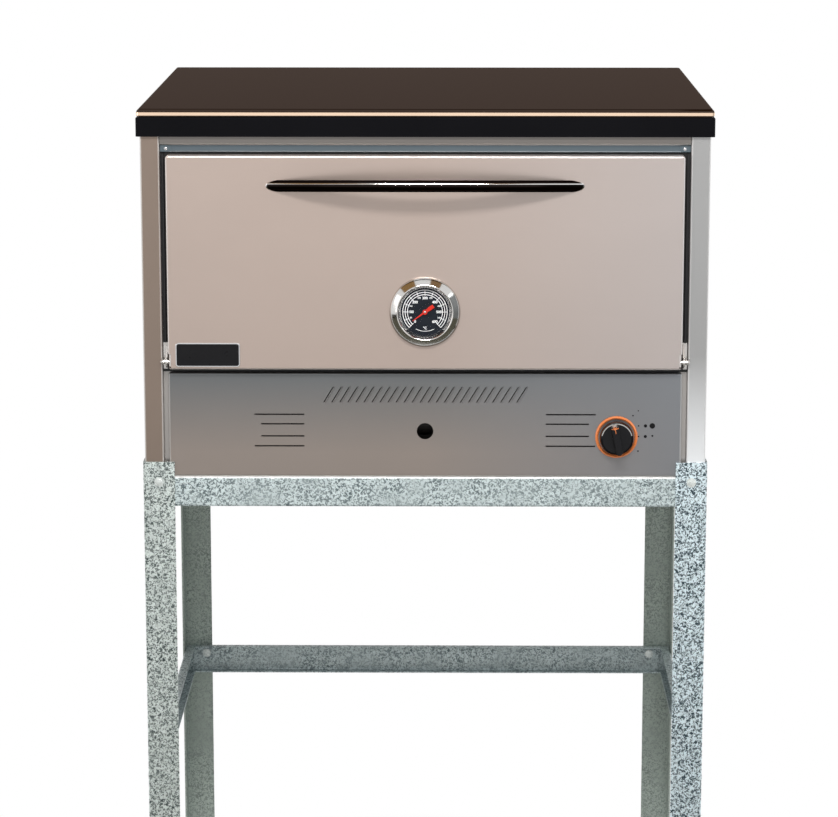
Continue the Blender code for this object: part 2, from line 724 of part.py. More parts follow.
def make_liners(steel):
    """The chamber's sheets. A side liner carries the stone on its bottom ledge and the rack on a runner."""
    start = CHAMBER_FRONT_Y
    end = CHAMBER_BACK_Y + BACK_FLANGE
    path = [(HALF_MOUTH - LEDGE_WIDTH, LEDGE_TOP_Z), (HALF_MOUTH, LEDGE_TOP_Z), (HALF_MOUTH, LINER_TOP_Z)]
    runner_start = DOOR_REAR_Y + PLUG_DEPTH + RACK_MARGIN
    for side, sign in (("right", 1), ("left", -1)):
        liner = solid(f"liner_{side}", folded_sheet(path, "Y", start, end, SHEET, sign < 0), steel)
        inner = sign * (HALF_MOUTH - RUNNER_DEPTH)
        shelf = sorted((inner, sign * (HALF_MOUTH + SHEET / 2)))
        runner_end = CHAMBER_BACK_Y - RACK_MARGIN
        join(liner, box((shelf[0], runner_start, RUNNER_Z - SHEET), (shelf[1], runner_end, RUNNER_Z)))
        skirt = sorted((inner, inner + sign * SHEET))
        join(liner, box((skirt[0], runner_start, RUNNER_Z - RUNNER_HEIGHT),
                        (skirt[1], CHAMBER_BACK_Y - RACK_MARGIN, RUNNER_Z - SHEET / 2)))
    half = HALF_MOUTH + SHEET * 2 + GAP
    top = MOUTH_TOP_Z + SHEET
    roof = [(-half, top - ROOF_FLANGE), (-half, top), (half, top), (half, top - ROOF_FLANGE)]
    solid("liner_roof", folded_sheet(roof, "Y", start, end), steel)
    half = HALF_MOUTH - GAP
    sides = (-half, half, LEDGE_TOP_Z + GAP, LINER_TOP_Z - GAP)
    back = solid("liner_back", folded_pan(sides, "Y", CHAMBER_BACK_Y, end), steel)
    cut(back, prisms(flue_outlines(), "Y", CHAMBER_BACK_Y - OVERRUN, CHAMBER_BACK_Y + SHEET + OVERRUN))


def make_wool(mineral):
    """Mineral wool slabs between the liners and the outer sheets. The rear slab stops under the flue."""
    inner = HALF_MOUTH + SHEET * 2 + GAP * 2
    outer = HALF_BODY - SHEET - GAP
    front = LIP_Y + SHEET + GAP
    back = REAR_Y - SHEET * 2 - GAP * 2
    roof = MOUTH_TOP_Z + SHEET + GAP
    for side, ends in (("right", (inner, outer)), ("left", (-outer, -inner))):
        shape = box((ends[0], front, LEDGE_TOP_Z), (ends[1], back, SIDE_TOP_Z - GAP))
        solid(f"wool_{side}", shape, mineral)
    solid("wool_roof", box((-inner + GAP, front, roof), (inner - GAP, back, SIDE_TOP_Z - GAP)), mineral)
    start = CHAMBER_BACK_Y + BACK_FLANGE + GAP
    flue_base = MOUTH_TOP_Z - FLUE_DROP - FLUE_HEIGHT - FLUE_DROP
    solid("wool_back", box((-HALF_MOUTH, start, LEDGE_TOP_Z), (HALF_MOUTH, back, flue_base)), mineral)


def make_stone(ceramic):
    """The baking stone, with eased edges, on the side liners' ledges."""
    half = HALF_MOUTH - STONE_MARGIN
    front = CHAMBER_FRONT_Y + STONE_MARGIN
    back = CHAMBER_BACK_Y - STONE_MARGIN

    def ring(inset, height):
        outline = rounded_rectangle(-half + inset, half - inset, front + inset, back - inset, STONE_ROUNDING)
        return outline, height

    rings = [ring(0, STONE_BASE_Z), ring(0, STONE_TOP_Z - STONE_ROUNDING / 2),
             ring(STONE_ROUNDING / 2, STONE_TOP_Z)]
    solid("baking_stone", stack(rings, "Z"), ceramic)


def swept(points, radius, sides):
    """A closed rod along a level loop of points."""
    shape = bmesh.new()
    rows = []
    for index, point in enumerate(points):
        here = Vector(point)
        onward = (Vector(points[(index + 1) % len(points)]) - Vector(points[index - 1])).normalized()
        side = onward.cross(Vector((0, 0, 1)))
        row = []
        for turn in range(sides):
            angle = 2 * math.pi * turn / sides
            offset = side * math.cos(angle) + Vector((0, 0, 1)) * math.sin(angle)
            row.append(shape.verts.new(here + offset * radius))
        rows.append(row)
    for row, following in zip(rows, rows[1:] + rows[:1]):
        for turn in range(sides):
            after = (turn + 1) % sides
            shape.faces.new((row[turn], row[after], following[after], following[turn]))
    return shape


def make_rack(chrome):
    """A wire rack: one heavy rod bent to a frame, with thinner wires across it from front to back."""
    sides = 6
    half = HALF_MOUTH - RACK_MARGIN - RACK_FRAME_RADIUS
    front = CHAMBER_FRONT_Y + RACK_MARGIN + PLUG_DEPTH + RACK_FRAME_RADIUS
    back = CHAMBER_BACK_Y - RACK_MARGIN - RACK_FRAME_RADIUS
    height = RUNNER_Z + GAP + RACK_FRAME_RADIUS
    outline = rounded_rectangle(-half, half, front, back, RACK_CORNER)
    rack = solid("wire_rack", swept([(x, y, height) for x, y in outline], RACK_FRAME_RADIUS, sides), chrome)
    wires = bmesh.new()
    pitch = 2 * (half - RACK_CORNER) / (RACK_BARS - 1)
    for middle in spread(RACK_BARS, pitch):
        rows = []
        for along in (front, back):
            row = []
            for turn in range(sides):
                angle = 2 * math.pi * (turn + 1 / 2) / sides
                row.append(wires.verts.new((middle + RACK_WIRE_RADIUS * math.cos(angle), along,
                                            height + RACK_WIRE_RADIUS * math.sin(angle))))
            rows.append(row)
        wires.faces.new(rows[0])
        wires.faces.new(rows[1])
        for turn in range(sides):
            after = (turn + 1) % sides
            wires.faces.new((rows[0][turn], rows[0][after], rows[1][after], rows[1][turn]))
    join(rack, wires)


def make_deflector(steel):
    """A shallow tray hung under the ledges: it spreads the flame, which passes at its slotted sides."""
    outer = HALF_MOUTH - SHEET
    step = outer - DEFLECTOR_STEP
    top = LEDGE_TOP_Z - SHEET - GAP
    low = top - DEFLECTOR_DROP
    path = [(-outer, top), (-step, top), (-step, low), (step, low), (step, top), (outer, top)]
    front = CHAMBER_FRONT_Y + TUBE_SETBACK
    back = CHAMBER_BACK_Y - STONE_MARGIN
    tray = solid("heat_deflector", folded_sheet(path, "Y", front, back), steel)
    pitch = (back - front) / (DEFLECTOR_SLOT_COUNT + 1)
    middle_y = (front + back) / 2
    slots = []
    for place in spread(DEFLECTOR_SLOT_COUNT, pitch):
        for side in (-1, 1):
            inner = side * (step - DEFLECTOR_STEP / 2)
            ends = sorted((inner, inner - side * DEFLECTOR_SLOT_WIDTH))
            reach = pitch * DEFLECTOR_SLOT_SHARE / 2
            slots.append(((ends[0], middle_y + place - reach, low - SHEET - OVERRUN),
                          (ends[1], middle_y + place + reach, low + OVERRUN)))
    cut(tray, boxes(slots))


def make_burner(cast):
    """A tube across the front with an arm back from each end. Flame ports are sawn across their tops."""
    end = ARM_SPREAD + TUBE_RADIUS
    wall = TUBE_WALL
    bore = TUBE_RADIUS - wall
    port_low = BURNER_Z + TUBE_RADIUS - PORT_DEPTH
    port_high = BURNER_Z + TUBE_RADIUS + OVERRUN
    profile = [(0, -end), (TUBE_RADIUS, -end), (TUBE_RADIUS, end),
               (bore, end), (bore, -end + wall), (0, -end + wall)]
    cross = solid("burner_cross_tube", turned(profile, "X", (BURNER_Y, BURNER_Z)), cast)
    feet = []
    for middle in (-ARM_SPREAD, 0):
        feet.append(((middle - ARM_FOOT_WIDTH / 2, BURNER_Y - ARM_FOOT_WALL / 2, PAN_FLOOR_Z + GAP),
                     (middle + ARM_FOOT_WIDTH / 2, BURNER_Y + ARM_FOOT_WALL / 2,
                      BURNER_Z - TUBE_RADIUS + wall / 2)))
    join(cross, boxes(feet))
    ports = []
    for middle in spread(CROSS_PORT_COUNT, ARM_SPREAD * 2 / (CROSS_PORT_COUNT + 1)):
        ports.append(((middle - PORT_WIDTH / 2, BURNER_Y - TUBE_RADIUS - OVERRUN, port_low),
                      (middle + PORT_WIDTH / 2, BURNER_Y + TUBE_RADIUS + OVERRUN, port_high)))
    cut(cross, boxes(ports))
    start = BURNER_Y + TUBE_RADIUS + GAP
    finish_y = start + ARM_LENGTH
    for side, middle in (("left", -ARM_SPREAD), ("right", ARM_SPREAD)):
        profile = [(0, finish_y), (TUBE_RADIUS, finish_y), (TUBE_RADIUS, start), (bore, start),
                   (bore, finish_y - wall), (0, finish_y - wall)]
        arm = solid(f"burner_arm_{side}", turned(profile, "Y", (middle, BURNER_Z)), cast)
        foot_y = start + ARM_LENGTH * ARM_FOOT_SHARE
        join(arm, box((middle - ARM_FOOT_WIDTH / 2, foot_y, PAN_FLOOR_Z + GAP),
                      (middle + ARM_FOOT_WIDTH / 2, foot_y + ARM_FOOT_WALL,
                       BURNER_Z - TUBE_RADIUS + wall / 2)))
        ports = []
        pitch = ARM_LENGTH / (PORT_COUNT + 1)
        for index in range(PORT_COUNT):
            place = start + pitch * (index + 1)
            ports.append(((middle - TUBE_RADIUS - OVERRUN, place - PORT_WIDTH / 2, port_low),
                          (middle + TUBE_RADIUS + OVERRUN, place + PORT_WIDTH / 2, port_high)))
        cut(arm, boxes(ports))


def make_gas_train(brass, cast):
    """Mixing tube, injector, valve, pipe and inlet, in the order that the gas runs backwards through them."""
    centre = (BURNER_Y, BURNER_Z)
    start = ARM_SPREAD + TUBE_RADIUS + GAP
    throat = start + MIXER_LENGTH * MIXER_THROAT_SHARE
    mouth = start + MIXER_LENGTH
    wall = TUBE_WALL
    profile = [(TUBE_RADIUS - wall, start), (TUBE_RADIUS, start), (MIXER_THROAT_RADIUS + wall, throat),
               (MIXER_MOUTH_RADIUS + wall, mouth), (MIXER_MOUTH_RADIUS, mouth), (MIXER_THROAT_RADIUS, throat)]
    solid("mixing_tube", turned(profile, "X", centre), cast)

    outlet = KNOB_X - VALVE_WIDTH / 2 - VALVE_OUTLET_LENGTH
    tip = outlet - GAP - INJECTOR_LENGTH
    shoulder = outlet - GAP - INJECTOR_LENGTH / 2
    bore = around(INJECTOR_BORE)
    profile = [(bore, tip), (INJECTOR_TIP_RADIUS, tip), (INJECTOR_TIP_RADIUS, shoulder),
               (INJECTOR_RADIUS, shoulder), (INJECTOR_RADIUS, outlet - GAP), (bore, outlet - GAP)]
    solid("injector", turned(profile, "X", centre), brass)

    low = min(VALVE_Z, BURNER_Z) - VALVE_HEIGHT / 2
    high = max(VALVE_Z, BURNER_Z) + VALVE_HEIGHT / 2
    block = box((KNOB_X - VALVE_WIDTH / 2, VALVE_Y, low),
                (KNOB_X + VALVE_WIDTH / 2, VALVE_Y + VALVE_DEPTH, high))
    valve = solid("gas_valve", block, brass)
    knob_centre = (KNOB_X, VALVE_Z)
    join(valve, rod("Y", knob_centre, VALVE_CUP_RADIUS, PANEL_BACK_Y + GAP, VALVE_Y + VALVE_DEPTH / 2))
    join(valve, rod("X", centre, VALVE_OUTLET_RADIUS, outlet, KNOB_X))
    inlet_end = VALVE_Y + VALVE_DEPTH + VALVE_INLET_LENGTH
    join(valve, rod("Y", knob_centre, VALVE_INLET_RADIUS, VALVE_Y + VALVE_DEPTH / 2, inlet_end))
    cut(valve, rod("Y", knob_centre, VALVE_CUP_BORE, PANEL_BACK_Y - OVERRUN, VALVE_Y))
    cut(valve, rod("Y", knob_centre, around(SPINDLE_RADIUS + RUNNING_FIT), PANEL_BACK_Y,
                   SPINDLE_DEPTH + KNOB_TRAVEL + PANEL_BACK_Y + GAP * 2))

    bore = around(PIPE_RADIUS - PIPE_WALL)
    pipe_start = inlet_end + GAP
    pipe_end = REAR_Y - INLET_SHANK_LENGTH - GAP
    profile = [(bore, pipe_start), (PIPE_RADIUS, pipe_start), (PIPE_RADIUS, pipe_end), (bore, pipe_end)]
    solid("gas_pipe", turned(profile, "Y", knob_centre), brass)

    bore = around(INLET_BORE)
    shank = REAR_Y - INLET_SHANK_LENGTH
    flange = REAR_Y + GAP
    nose = REAR_Y + INLET_LENGTH
    hex_end = flange + INLET_HEX_LENGTH
    barb = (nose - hex_end) / 3
    profile = [(bore, shank), (INLET_SHANK_RADIUS, shank),
               (INLET_SHANK_RADIUS, flange), (INLET_HEX_RADIUS, flange),
               (INLET_HEX_RADIUS, hex_end), (INLET_NOSE_RADIUS, hex_end)]
    for index in range(3):
        start_y = hex_end + barb * index
        profile.append((INLET_BARB_RADIUS, start_y + barb / 4))
        profile.append((INLET_NOSE_RADIUS, start_y + barb))
    profile.append((bore, nose))
    solid("gas_inlet", turned(profile, "Y", knob_centre), brass)


def make_knob(black, orange, steel):
    """Push-and-turn knob on its spindle, the plunger that takes the spring, and the fixed ring around it."""
    centre = (KNOB_X, VALVE_Z)
    front = FACE_Y - GAP
    bore = around(RING_BORE_RADIUS, THERMO_SIDES)
    crest = front - RING_THICKNESS
    mid = (RING_BORE_RADIUS + RING_RADIUS) / 2
    profile = [(bore, front), (RING_RADIUS, front), (RING_RADIUS, (front + crest) / 2), (mid, crest),
               (bore, (front + crest) / 2)]
    solid("knob_ring", turned(profile, "Y", centre, THERMO_SIDES), orange)

    ease = KNOB_ROUNDING
    profile = [(0, KNOB_BACK_Y), (KNOB_RADIUS - ease / 2, KNOB_BACK_Y), (KNOB_RADIUS, KNOB_BACK_Y - ease),
               (KNOB_RADIUS - ease / 2, KNOB_TOP_Y + ease),
               (KNOB_RADIUS - ease * 2, KNOB_TOP_Y), (0, KNOB_TOP_Y)]
    knob = solid("knob", turned(profile, "Y", centre, THERMO_SIDES), black)
    length = KNOB_RADIUS - ease
    half = KNOB_GRIP_WIDTH / 2

    def ring(inset, along):
        outline = rounded_rectangle(-half + inset, half - inset, -length + inset, length - inset,
                                    half - inset)
        turn = -KNOB_GRIP_TILT
        return [(centre[0] + across * math.cos(turn) - up * math.sin(turn),
                 centre[1] + across * math.sin(turn) + up * math.cos(turn)) for across, up in outline], along

    tip = KNOB_TOP_Y - KNOB_GRIP_HEIGHT
    rings = [ring(0, KNOB_TOP_Y + KNOB_SKIRT / 2), ring(ease / 2, tip + ease), ring(ease, tip)]
    join(knob, stack(rings, "Y"))
    seat = KNOB_BACK_Y - SPINDLE_SEAT
    cut(knob, rod("Y", centre, around(SPINDLE_RADIUS + RUNNING_FIT), seat, KNOB_BACK_Y + OVERRUN))

    depth = PANEL_BACK_Y + SPINDLE_DEPTH
    spindle = solid("valve_spindle", rod("Y", centre, SPINDLE_RADIUS, seat + GAP, depth), steel)
    plunger_y = PANEL_BACK_Y + (VALVE_Y - PANEL_BACK_Y) * PLUNGER_SHARE
    shape = tube("Y", centre, PLUNGER_RADIUS, SPINDLE_RADIUS + RUNNING_FIT,
                 plunger_y, plunger_y + PLUNGER_THICKNESS)
    plunger = solid("valve_plunger", shape, steel)
    pivot = pivot_at("knob_axis", (KNOB_X, KNOB_BACK_Y, VALVE_Z))
    hang_on(pivot, [knob, spindle, plunger])


def make_hinges(steel):
    """Drop-down hinge: a plate in the door turns on a pin, and an ear on the mouth frame holds the pin."""
    plates = []
    for side, sign in (("right", 1), ("left", -1)):
        plate_outer = HALF_DOOR - SHEET - GAP
        plate_inner = plate_outer - HINGE_PLATE_WALL
        ear_inner = HALF_DOOR + EAR_CLEARANCE
        ear_outer = ear_inner + EAR_WALL
        low = DOOR_BASE_Z + PAN_CORNER_RADIUS + GAP
        outline = rectangle(DOOR_INNER_Y + GAP, DOOR_REAR_Y - SHEET - GAP, low, low + HINGE_PLATE_HEIGHT)
        ends = sorted((sign * plate_inner, sign * plate_outer))
        plate = solid(f"hinge_plate_{side}", prisms([outline], "X", *ends), steel)
        hole = around(PIN_RADIUS + RUNNING_FIT)
        cut(plate, rod("X", (AXIS_Y, AXIS_Z), hole, ends[0] - OVERRUN, ends[1] + OVERRUN))
        plates.append(plate)

        back = MOUTH_Y - GAP
        top = AXIS_Z + EAR_RISE
        base = AXIS_Z - EAR_NOSE * 2
        nose = []
        for step in range(FOLD_STEPS * 3 + 1):
            angle = math.pi * (3 / 2 - step / (FOLD_STEPS * 3))
            nose.append((AXIS_Y + EAR_NOSE * math.cos(angle), AXIS_Z + EAR_NOSE * math.sin(angle)))
        outline = [(back, base), *nose, (back, top)]
        ends = sorted((sign * ear_inner, sign * ear_outer))
        ear = solid(f"hinge_ear_{side}", prisms([outline], "X", *ends), steel)
        foot = sorted((sign * (ear_inner + EAR_WALL / 2), sign * (ear_outer + EAR_FOOT)))
        join(ear, box((foot[0], back - EAR_WALL, base), (foot[1], back, top)))
        cut(ear, rod("X", (AXIS_Y, AXIS_Z), hole, ends[0] - OVERRUN, ends[1] + OVERRUN))

        tail = plate_inner - PIN_TAIL
        head = ear_outer + PIN_HEAD
        shoulder = ear_outer + GAP
        dome = PIN_DOME_RADIUS
        profile = [(0, sign * tail), (PIN_RADIUS, sign * tail),
                   (PIN_RADIUS, sign * shoulder), (dome, sign * shoulder),
                   (dome, sign * (head - dome)), (dome * math.cos(math.pi / 6), sign * (head - dome / 2)),
                   (dome * math.cos(math.pi / 3), sign * (head - dome * (1 - math.sin(math.pi / 3)))),
                   (0, sign * head)]
        solid(f"hinge_pin_{side}", turned(profile, "X", (AXIS_Y, AXIS_Z)), steel)
    return plates


def make_door(steel, mineral):
    """A folded skin, and behind it a liner whose plug enters the mouth, with wool between."""
    sides = (-HALF_DOOR, HALF_DOOR, DOOR_BASE_Z, DOOR_TOP_Z)
    skin = solid("door_skin", folded_pan(sides, "Y", DOOR_FRONT_Y, DOOR_REAR_Y), steel)
    slot_low = DOOR_BASE_Z + SLOT_BASE
    for sign in (-1, 1):
        ends = sorted((sign * (HALF_DOOR - SLOT_WIDTH), sign * (HALF_DOOR + SLOT_WIDTH)))
        outline = rounded_rectangle(*ends, slot_low, slot_low + SLOT_LENGTH, SLOT_ROUNDING)
        cut(skin, prisms([outline], "Y", DOOR_FRONT_Y - OVERRUN, DOOR_FRONT_Y + SLOT_DEPTH))
    hole = around(STEM_RADIUS + STEM_PLAY)
    cut(skin, rod("Y", (0, THERMO_Z), hole, DOOR_FRONT_Y - OVERRUN, DOOR_INNER_Y + OVERRUN))

    rim_half = HALF_DOOR - SHEET - LINER_RIM_GAP
    rim_low = DOOR_BASE_Z + SHEET + GAP
    rim_high = DOOR_TOP_Z - SHEET - GAP
    half = HALF_MOUTH - PLUG_SIDE_CLEARANCE
    low = MOUTH_BASE_Z + PLUG_END_CLEARANCE
    high = MOUTH_TOP_Z - PLUG_END_CLEARANCE
    plug_y = DOOR_REAR_Y + PLUG_DEPTH
    corner = PLUG_ROUNDING

    def ring(inset, along):
        radius = max(corner - inset, corner / 4)
        return rounded_rectangle(-half + inset, half - inset, low + inset, high - inset, radius), along

    rim = rounded_rectangle(-rim_half, rim_half, rim_low, rim_high, corner)
    rings = [ring(SHEET, plug_y - SHEET), ring(SHEET, DOOR_REAR_Y - SHEET), (rim, DOOR_REAR_Y - SHEET),
             (rim, DOOR_REAR_Y), ring(0, DOOR_REAR_Y)]
    for step in range(FOLD_STEPS + 1):
        angle = math.pi / 2 * step / FOLD_STEPS
        inset = PAN_EDGE_RADIUS * (1 - math.cos(angle))
        rings.append(ring(inset, plug_y - PAN_EDGE_RADIUS * (1 - math.sin(angle))))
    liner = solid("door_liner", stack(rings, "Y"), steel)
    cut(liner, rod("Y", (0, THERMO_Z), hole, plug_y - SHEET - OVERRUN, plug_y + OVERRUN))

    inset = SHEET + GAP
    outline = rounded_rectangle(-half + inset, half - inset, low + inset, high - inset, corner)
    wool = solid("door_wool", prisms([outline], "Y", DOOR_INNER_Y + GAP, plug_y - SHEET - GAP), mineral)
    cut(wool, rod("Y", (0, THERMO_Z), hole, DOOR_INNER_Y - OVERRUN, plug_y + OVERRUN))
    nut_room = DOOR_INNER_Y + GAP * 2 + NUT_THICKNESS
    cut(wool, rod("Y", (0, THERMO_Z), NUT_RADIUS + GAP, DOOR_INNER_Y - OVERRUN, nut_room))
    return [skin, liner, wool]


def make_handle(black_chrome):
    """A round tube bowed out from the door, its ends cut flush with the door's face."""
    radius = (HANDLE_CHORD ** 2 / 4 + HANDLE_BOW ** 2) / (2 * HANDLE_BOW)
    plane = DOOR_FRONT_Y - GAP
    height = DOOR_BASE_Z + HANDLE_HEIGHT
    reach = math.asin((HANDLE_CHORD / 2 + HANDLE_RADIUS * 4) / radius)
    shape = bmesh.new()
    rows = []
    for station in range(HANDLE_STATIONS + 1):
        angle = reach * (2 * station / HANDLE_STATIONS - 1)
        row = []
        for turn in range(HANDLE_SIDES):
            around_tube = 2 * math.pi * turn / HANDLE_SIDES
            along = radius + HANDLE_RADIUS * math.cos(around_tube)
            out = along * math.cos(angle) - (radius - HANDLE_BOW)
            up = HANDLE_RADIUS * math.sin(around_tube) + out * HANDLE_TILT
            row.append(shape.verts.new((along * math.sin(angle), DOOR_FRONT_Y - out, height + up)))
        rows.append(row)
    shape.faces.new(rows[0])
    shape.faces.new(rows[-1])
    for row, following in zip(rows, rows[1:]):
        for turn in range(HANDLE_SIDES):
            after = (turn + 1) % HANDLE_SIDES
            shape.faces.new((row[turn], row[after], following[after], following[turn]))
    handle = solid("door_handle", shape, black_chrome)
    half = HANDLE_CHORD
    cut(handle, box((-half, plane, height - HANDLE_CHORD),
                    (half, plane + HANDLE_CHORD, height + HANDLE_CHORD)))
    return handle


def make_thermometer(chrome, white, red, clear, steel, brass):
    """Dial thermometer: a cup-shaped case, dial, needle, glass, probe stem and lock nut."""
    centre = (0, THERMO_Z)
    back = CASE_BACK_Y
    crest = back - BEZEL_DEPTH
    seat = DIAL_RADIUS + GAP
    hole = around(STEM_RADIUS + RUNNING_FIT, THERMO_SIDES)
    slope_y = GLASS_Y - GLASS_THICKNESS - GAP
    profile = [(hole, back), (BEZEL_RADIUS, back), (BEZEL_RADIUS, back - BEZEL_DEPTH / 4),
               ((BEZEL_RADIUS * 2 + BEZEL_CREST_RADIUS) / 3, back - BEZEL_DEPTH * 2 / 3),
               ((BEZEL_RADIUS + BEZEL_CREST_RADIUS * 3) / 4, back - BEZEL_DEPTH * 11 / 12),
               (BEZEL_CREST_RADIUS, crest), ((BEZEL_CREST_RADIUS + BEZEL_LIP_RADIUS) / 2, crest),
               (BEZEL_LIP_RADIUS, back - BEZEL_DEPTH * 11 / 12), (around(seat, THERMO_SIDES), slope_y),
               (around(seat, THERMO_SIDES), back - CASE_WALL), (hole, back - CASE_WALL)]
    case = solid("thermometer_case", turned(profile, "Y", centre, THERMO_SIDES), chrome)
    shape = tube("Y", centre, DIAL_RADIUS, NEEDLE_SHAFT_RADIUS + RUNNING_FIT, DIAL_Y, DIAL_Y + DIAL_THICKNESS,
                 THERMO_SIDES)
    dial = solid("thermometer_dial", shape, white)
    glass = solid("thermometer_glass", rod("Y", centre, DIAL_RADIUS, GLASS_Y - GLASS_THICKNESS, GLASS_Y,
                                           THERMO_SIDES), clear)
    stem_front = back - CASE_WALL
    tip = DOOR_FRONT_Y + STEM_REACH
    profile = [(0, stem_front), (STEM_RADIUS, stem_front), (STEM_RADIUS, tip - STEM_RADIUS),
               (STEM_RADIUS * math.cos(math.pi / 4), tip - STEM_RADIUS * (1 - math.sin(math.pi / 4))),
               (0, tip)]
    stem = solid("thermometer_stem", turned(profile, "Y", centre), steel)
    nut_y = DOOR_INNER_Y + GAP
    bore = around(STEM_RADIUS + RUNNING_FIT, NUT_SIDES)
    shape = turned([(bore, nut_y), (NUT_RADIUS, nut_y),
                    (NUT_RADIUS, nut_y + NUT_THICKNESS), (bore, nut_y + NUT_THICKNESS)],
                   "Y", centre, NUT_SIDES)
    nut = solid("thermometer_nut", shape, brass)

    front = NEEDLE_Y - NEEDLE_THICKNESS
    half = NEEDLE_WIDTH / 2
    blade = [(-half * 2, -NEEDLE_TAIL), (half * 2, -NEEDLE_TAIL), (half * 2, -NEEDLE_TAIL / 2), (half, 0),
             (half / 4, NEEDLE_LENGTH), (-half / 4, NEEDLE_LENGTH), (-half, 0), (-half * 2, -NEEDLE_TAIL / 2)]
    turn = -NEEDLE_REST_ANGLE
    outline = [(across * math.cos(turn) - up * math.sin(turn),
                THERMO_Z + across * math.sin(turn) + up * math.cos(turn)) for across, up in blade]
    needle = solid("thermometer_needle", prisms([outline], "Y", front, NEEDLE_Y), red)
    shaft_end = DIAL_Y + DIAL_THICKNESS + GAP / 2
    profile = [(0, front - GAP), (NEEDLE_HUB_RADIUS, front - GAP), (NEEDLE_HUB_RADIUS, DIAL_Y - GAP),
               (NEEDLE_SHAFT_RADIUS, DIAL_Y - GAP), (NEEDLE_SHAFT_RADIUS, shaft_end), (0, shaft_end)]
    join(needle, turned(profile, "Y", centre))
    pivot = pivot_at("needle_axis", (0, DIAL_Y, THERMO_Z))
    hang_on(pivot, [needle])
    return [case, dial, glass, stem, nut]


def make_oven():
    for thing in list(bpy.data.objects):
        bpy.data.objects.remove(thing, do_unlink=True)
    satin = finish("satin_steel", (0.50, 0.46, 0.43), 0.34, 1.0)
    inner = finish("liner_steel", (0.42, 0.41, 0.40), 0.45, 1.0)
    zinc = finish("galvanised", (0.56, 0.60, 0.58), 0.45, 0.9)
    black = finish("black_enamel", (0.012, 0.012, 0.014), 0.18, 0.0)
    lid_gloss = finish("lid_plate_gloss", (0.055, 0.035, 0.028), 0.10, 0.4)
    smoked = finish("black_chrome", (0.03, 0.028, 0.03), 0.12, 0.8)
    chrome = finish("chrome", (0.78, 0.78, 0.78), 0.08, 1.0)
    brass = finish("brass", (0.62, 0.47, 0.20), 0.30, 1.0)
    iron = finish("burner_iron", (0.10, 0.10, 0.11), 0.60, 0.7)
    mineral = finish("mineral_wool", (0.55, 0.50, 0.36), 0.95, 0.0)
    ceramic = finish("stone", (0.55, 0.50, 0.42), 0.90, 0.0)
    dark = finish("dial_black", (0.01, 0.012, 0.02), 0.50, 0.0)
    red = finish("needle_red", (0.75, 0.08, 0.02), 0.40, 0.0)
    clear = finish("clear_glass", (0.9, 0.95, 0.95), 0.02, 0.0)
    plastic = finish("knob_black", (0.012, 0.012, 0.014), 0.25, 0.0)
    orange = finish("ring_orange", (0.80, 0.22, 0.03), 0.35, 0.0)

    make_legs(zinc)
    make_channels(zinc)
    make_side_panels(satin)
    make_rear_panel(satin)
    make_base_pan(inner)
    make_header(satin)
    make_mouth_frame(satin)
    make_control_panel(satin)
    make_lid(black, lid_gloss)
    make_liners(inner)
    make_wool(mineral)
    make_stone(ceramic)
    make_rack(chrome)
    make_deflector(inner)
    make_burner(iron)
    make_gas_train(brass, iron)
    make_knob(plastic, orange, inner)

    door_parts = make_door(satin, mineral)
    door_parts += make_hinges(inner)
    door_parts.append(make_handle(smoked))
    door_parts += make_thermometer(chrome, dark, red, clear, inner, brass)
    pivot = pivot_at("door_axis", (0, AXIS_Y, AXIS_Z))
    hang_on(pivot, door_parts)


make_oven()
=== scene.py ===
# %% [markdown]
# # A gas deck oven on its stand
# The real oven is a box of folded satin steel with a black lid, and it stands on legs of galvanised angle.
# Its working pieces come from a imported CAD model. This lesson gives each of them its finish, and adds what
# is too small for CAD: bolts, screws, pressed lips, the dial's scale and the marks beside the knob.

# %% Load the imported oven
import math

import bmesh
import bpy
from mathutils import Matrix, Vector


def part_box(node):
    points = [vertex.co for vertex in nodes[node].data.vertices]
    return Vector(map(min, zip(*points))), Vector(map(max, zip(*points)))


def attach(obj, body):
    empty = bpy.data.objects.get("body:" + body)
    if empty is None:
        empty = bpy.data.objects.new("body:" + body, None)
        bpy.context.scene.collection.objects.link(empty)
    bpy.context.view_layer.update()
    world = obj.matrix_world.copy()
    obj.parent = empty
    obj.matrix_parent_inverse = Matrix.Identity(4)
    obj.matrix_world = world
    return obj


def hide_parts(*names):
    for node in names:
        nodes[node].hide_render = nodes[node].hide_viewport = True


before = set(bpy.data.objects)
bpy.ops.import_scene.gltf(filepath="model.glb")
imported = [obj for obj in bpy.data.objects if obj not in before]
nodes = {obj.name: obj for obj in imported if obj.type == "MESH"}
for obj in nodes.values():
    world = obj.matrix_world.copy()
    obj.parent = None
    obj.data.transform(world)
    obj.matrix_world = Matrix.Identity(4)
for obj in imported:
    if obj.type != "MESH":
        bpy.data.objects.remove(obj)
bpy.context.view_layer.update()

MM = 0.001

# %% [markdown]
# ## Writing node trees as sums
# A material and a Geometry Nodes tree are both boards of nodes with links. Placing each node by hand makes
# long code, so one class stands for a number on a link: a sum on it adds a Math node. One method adds any
# other node, with its settings first and its inputs after them.

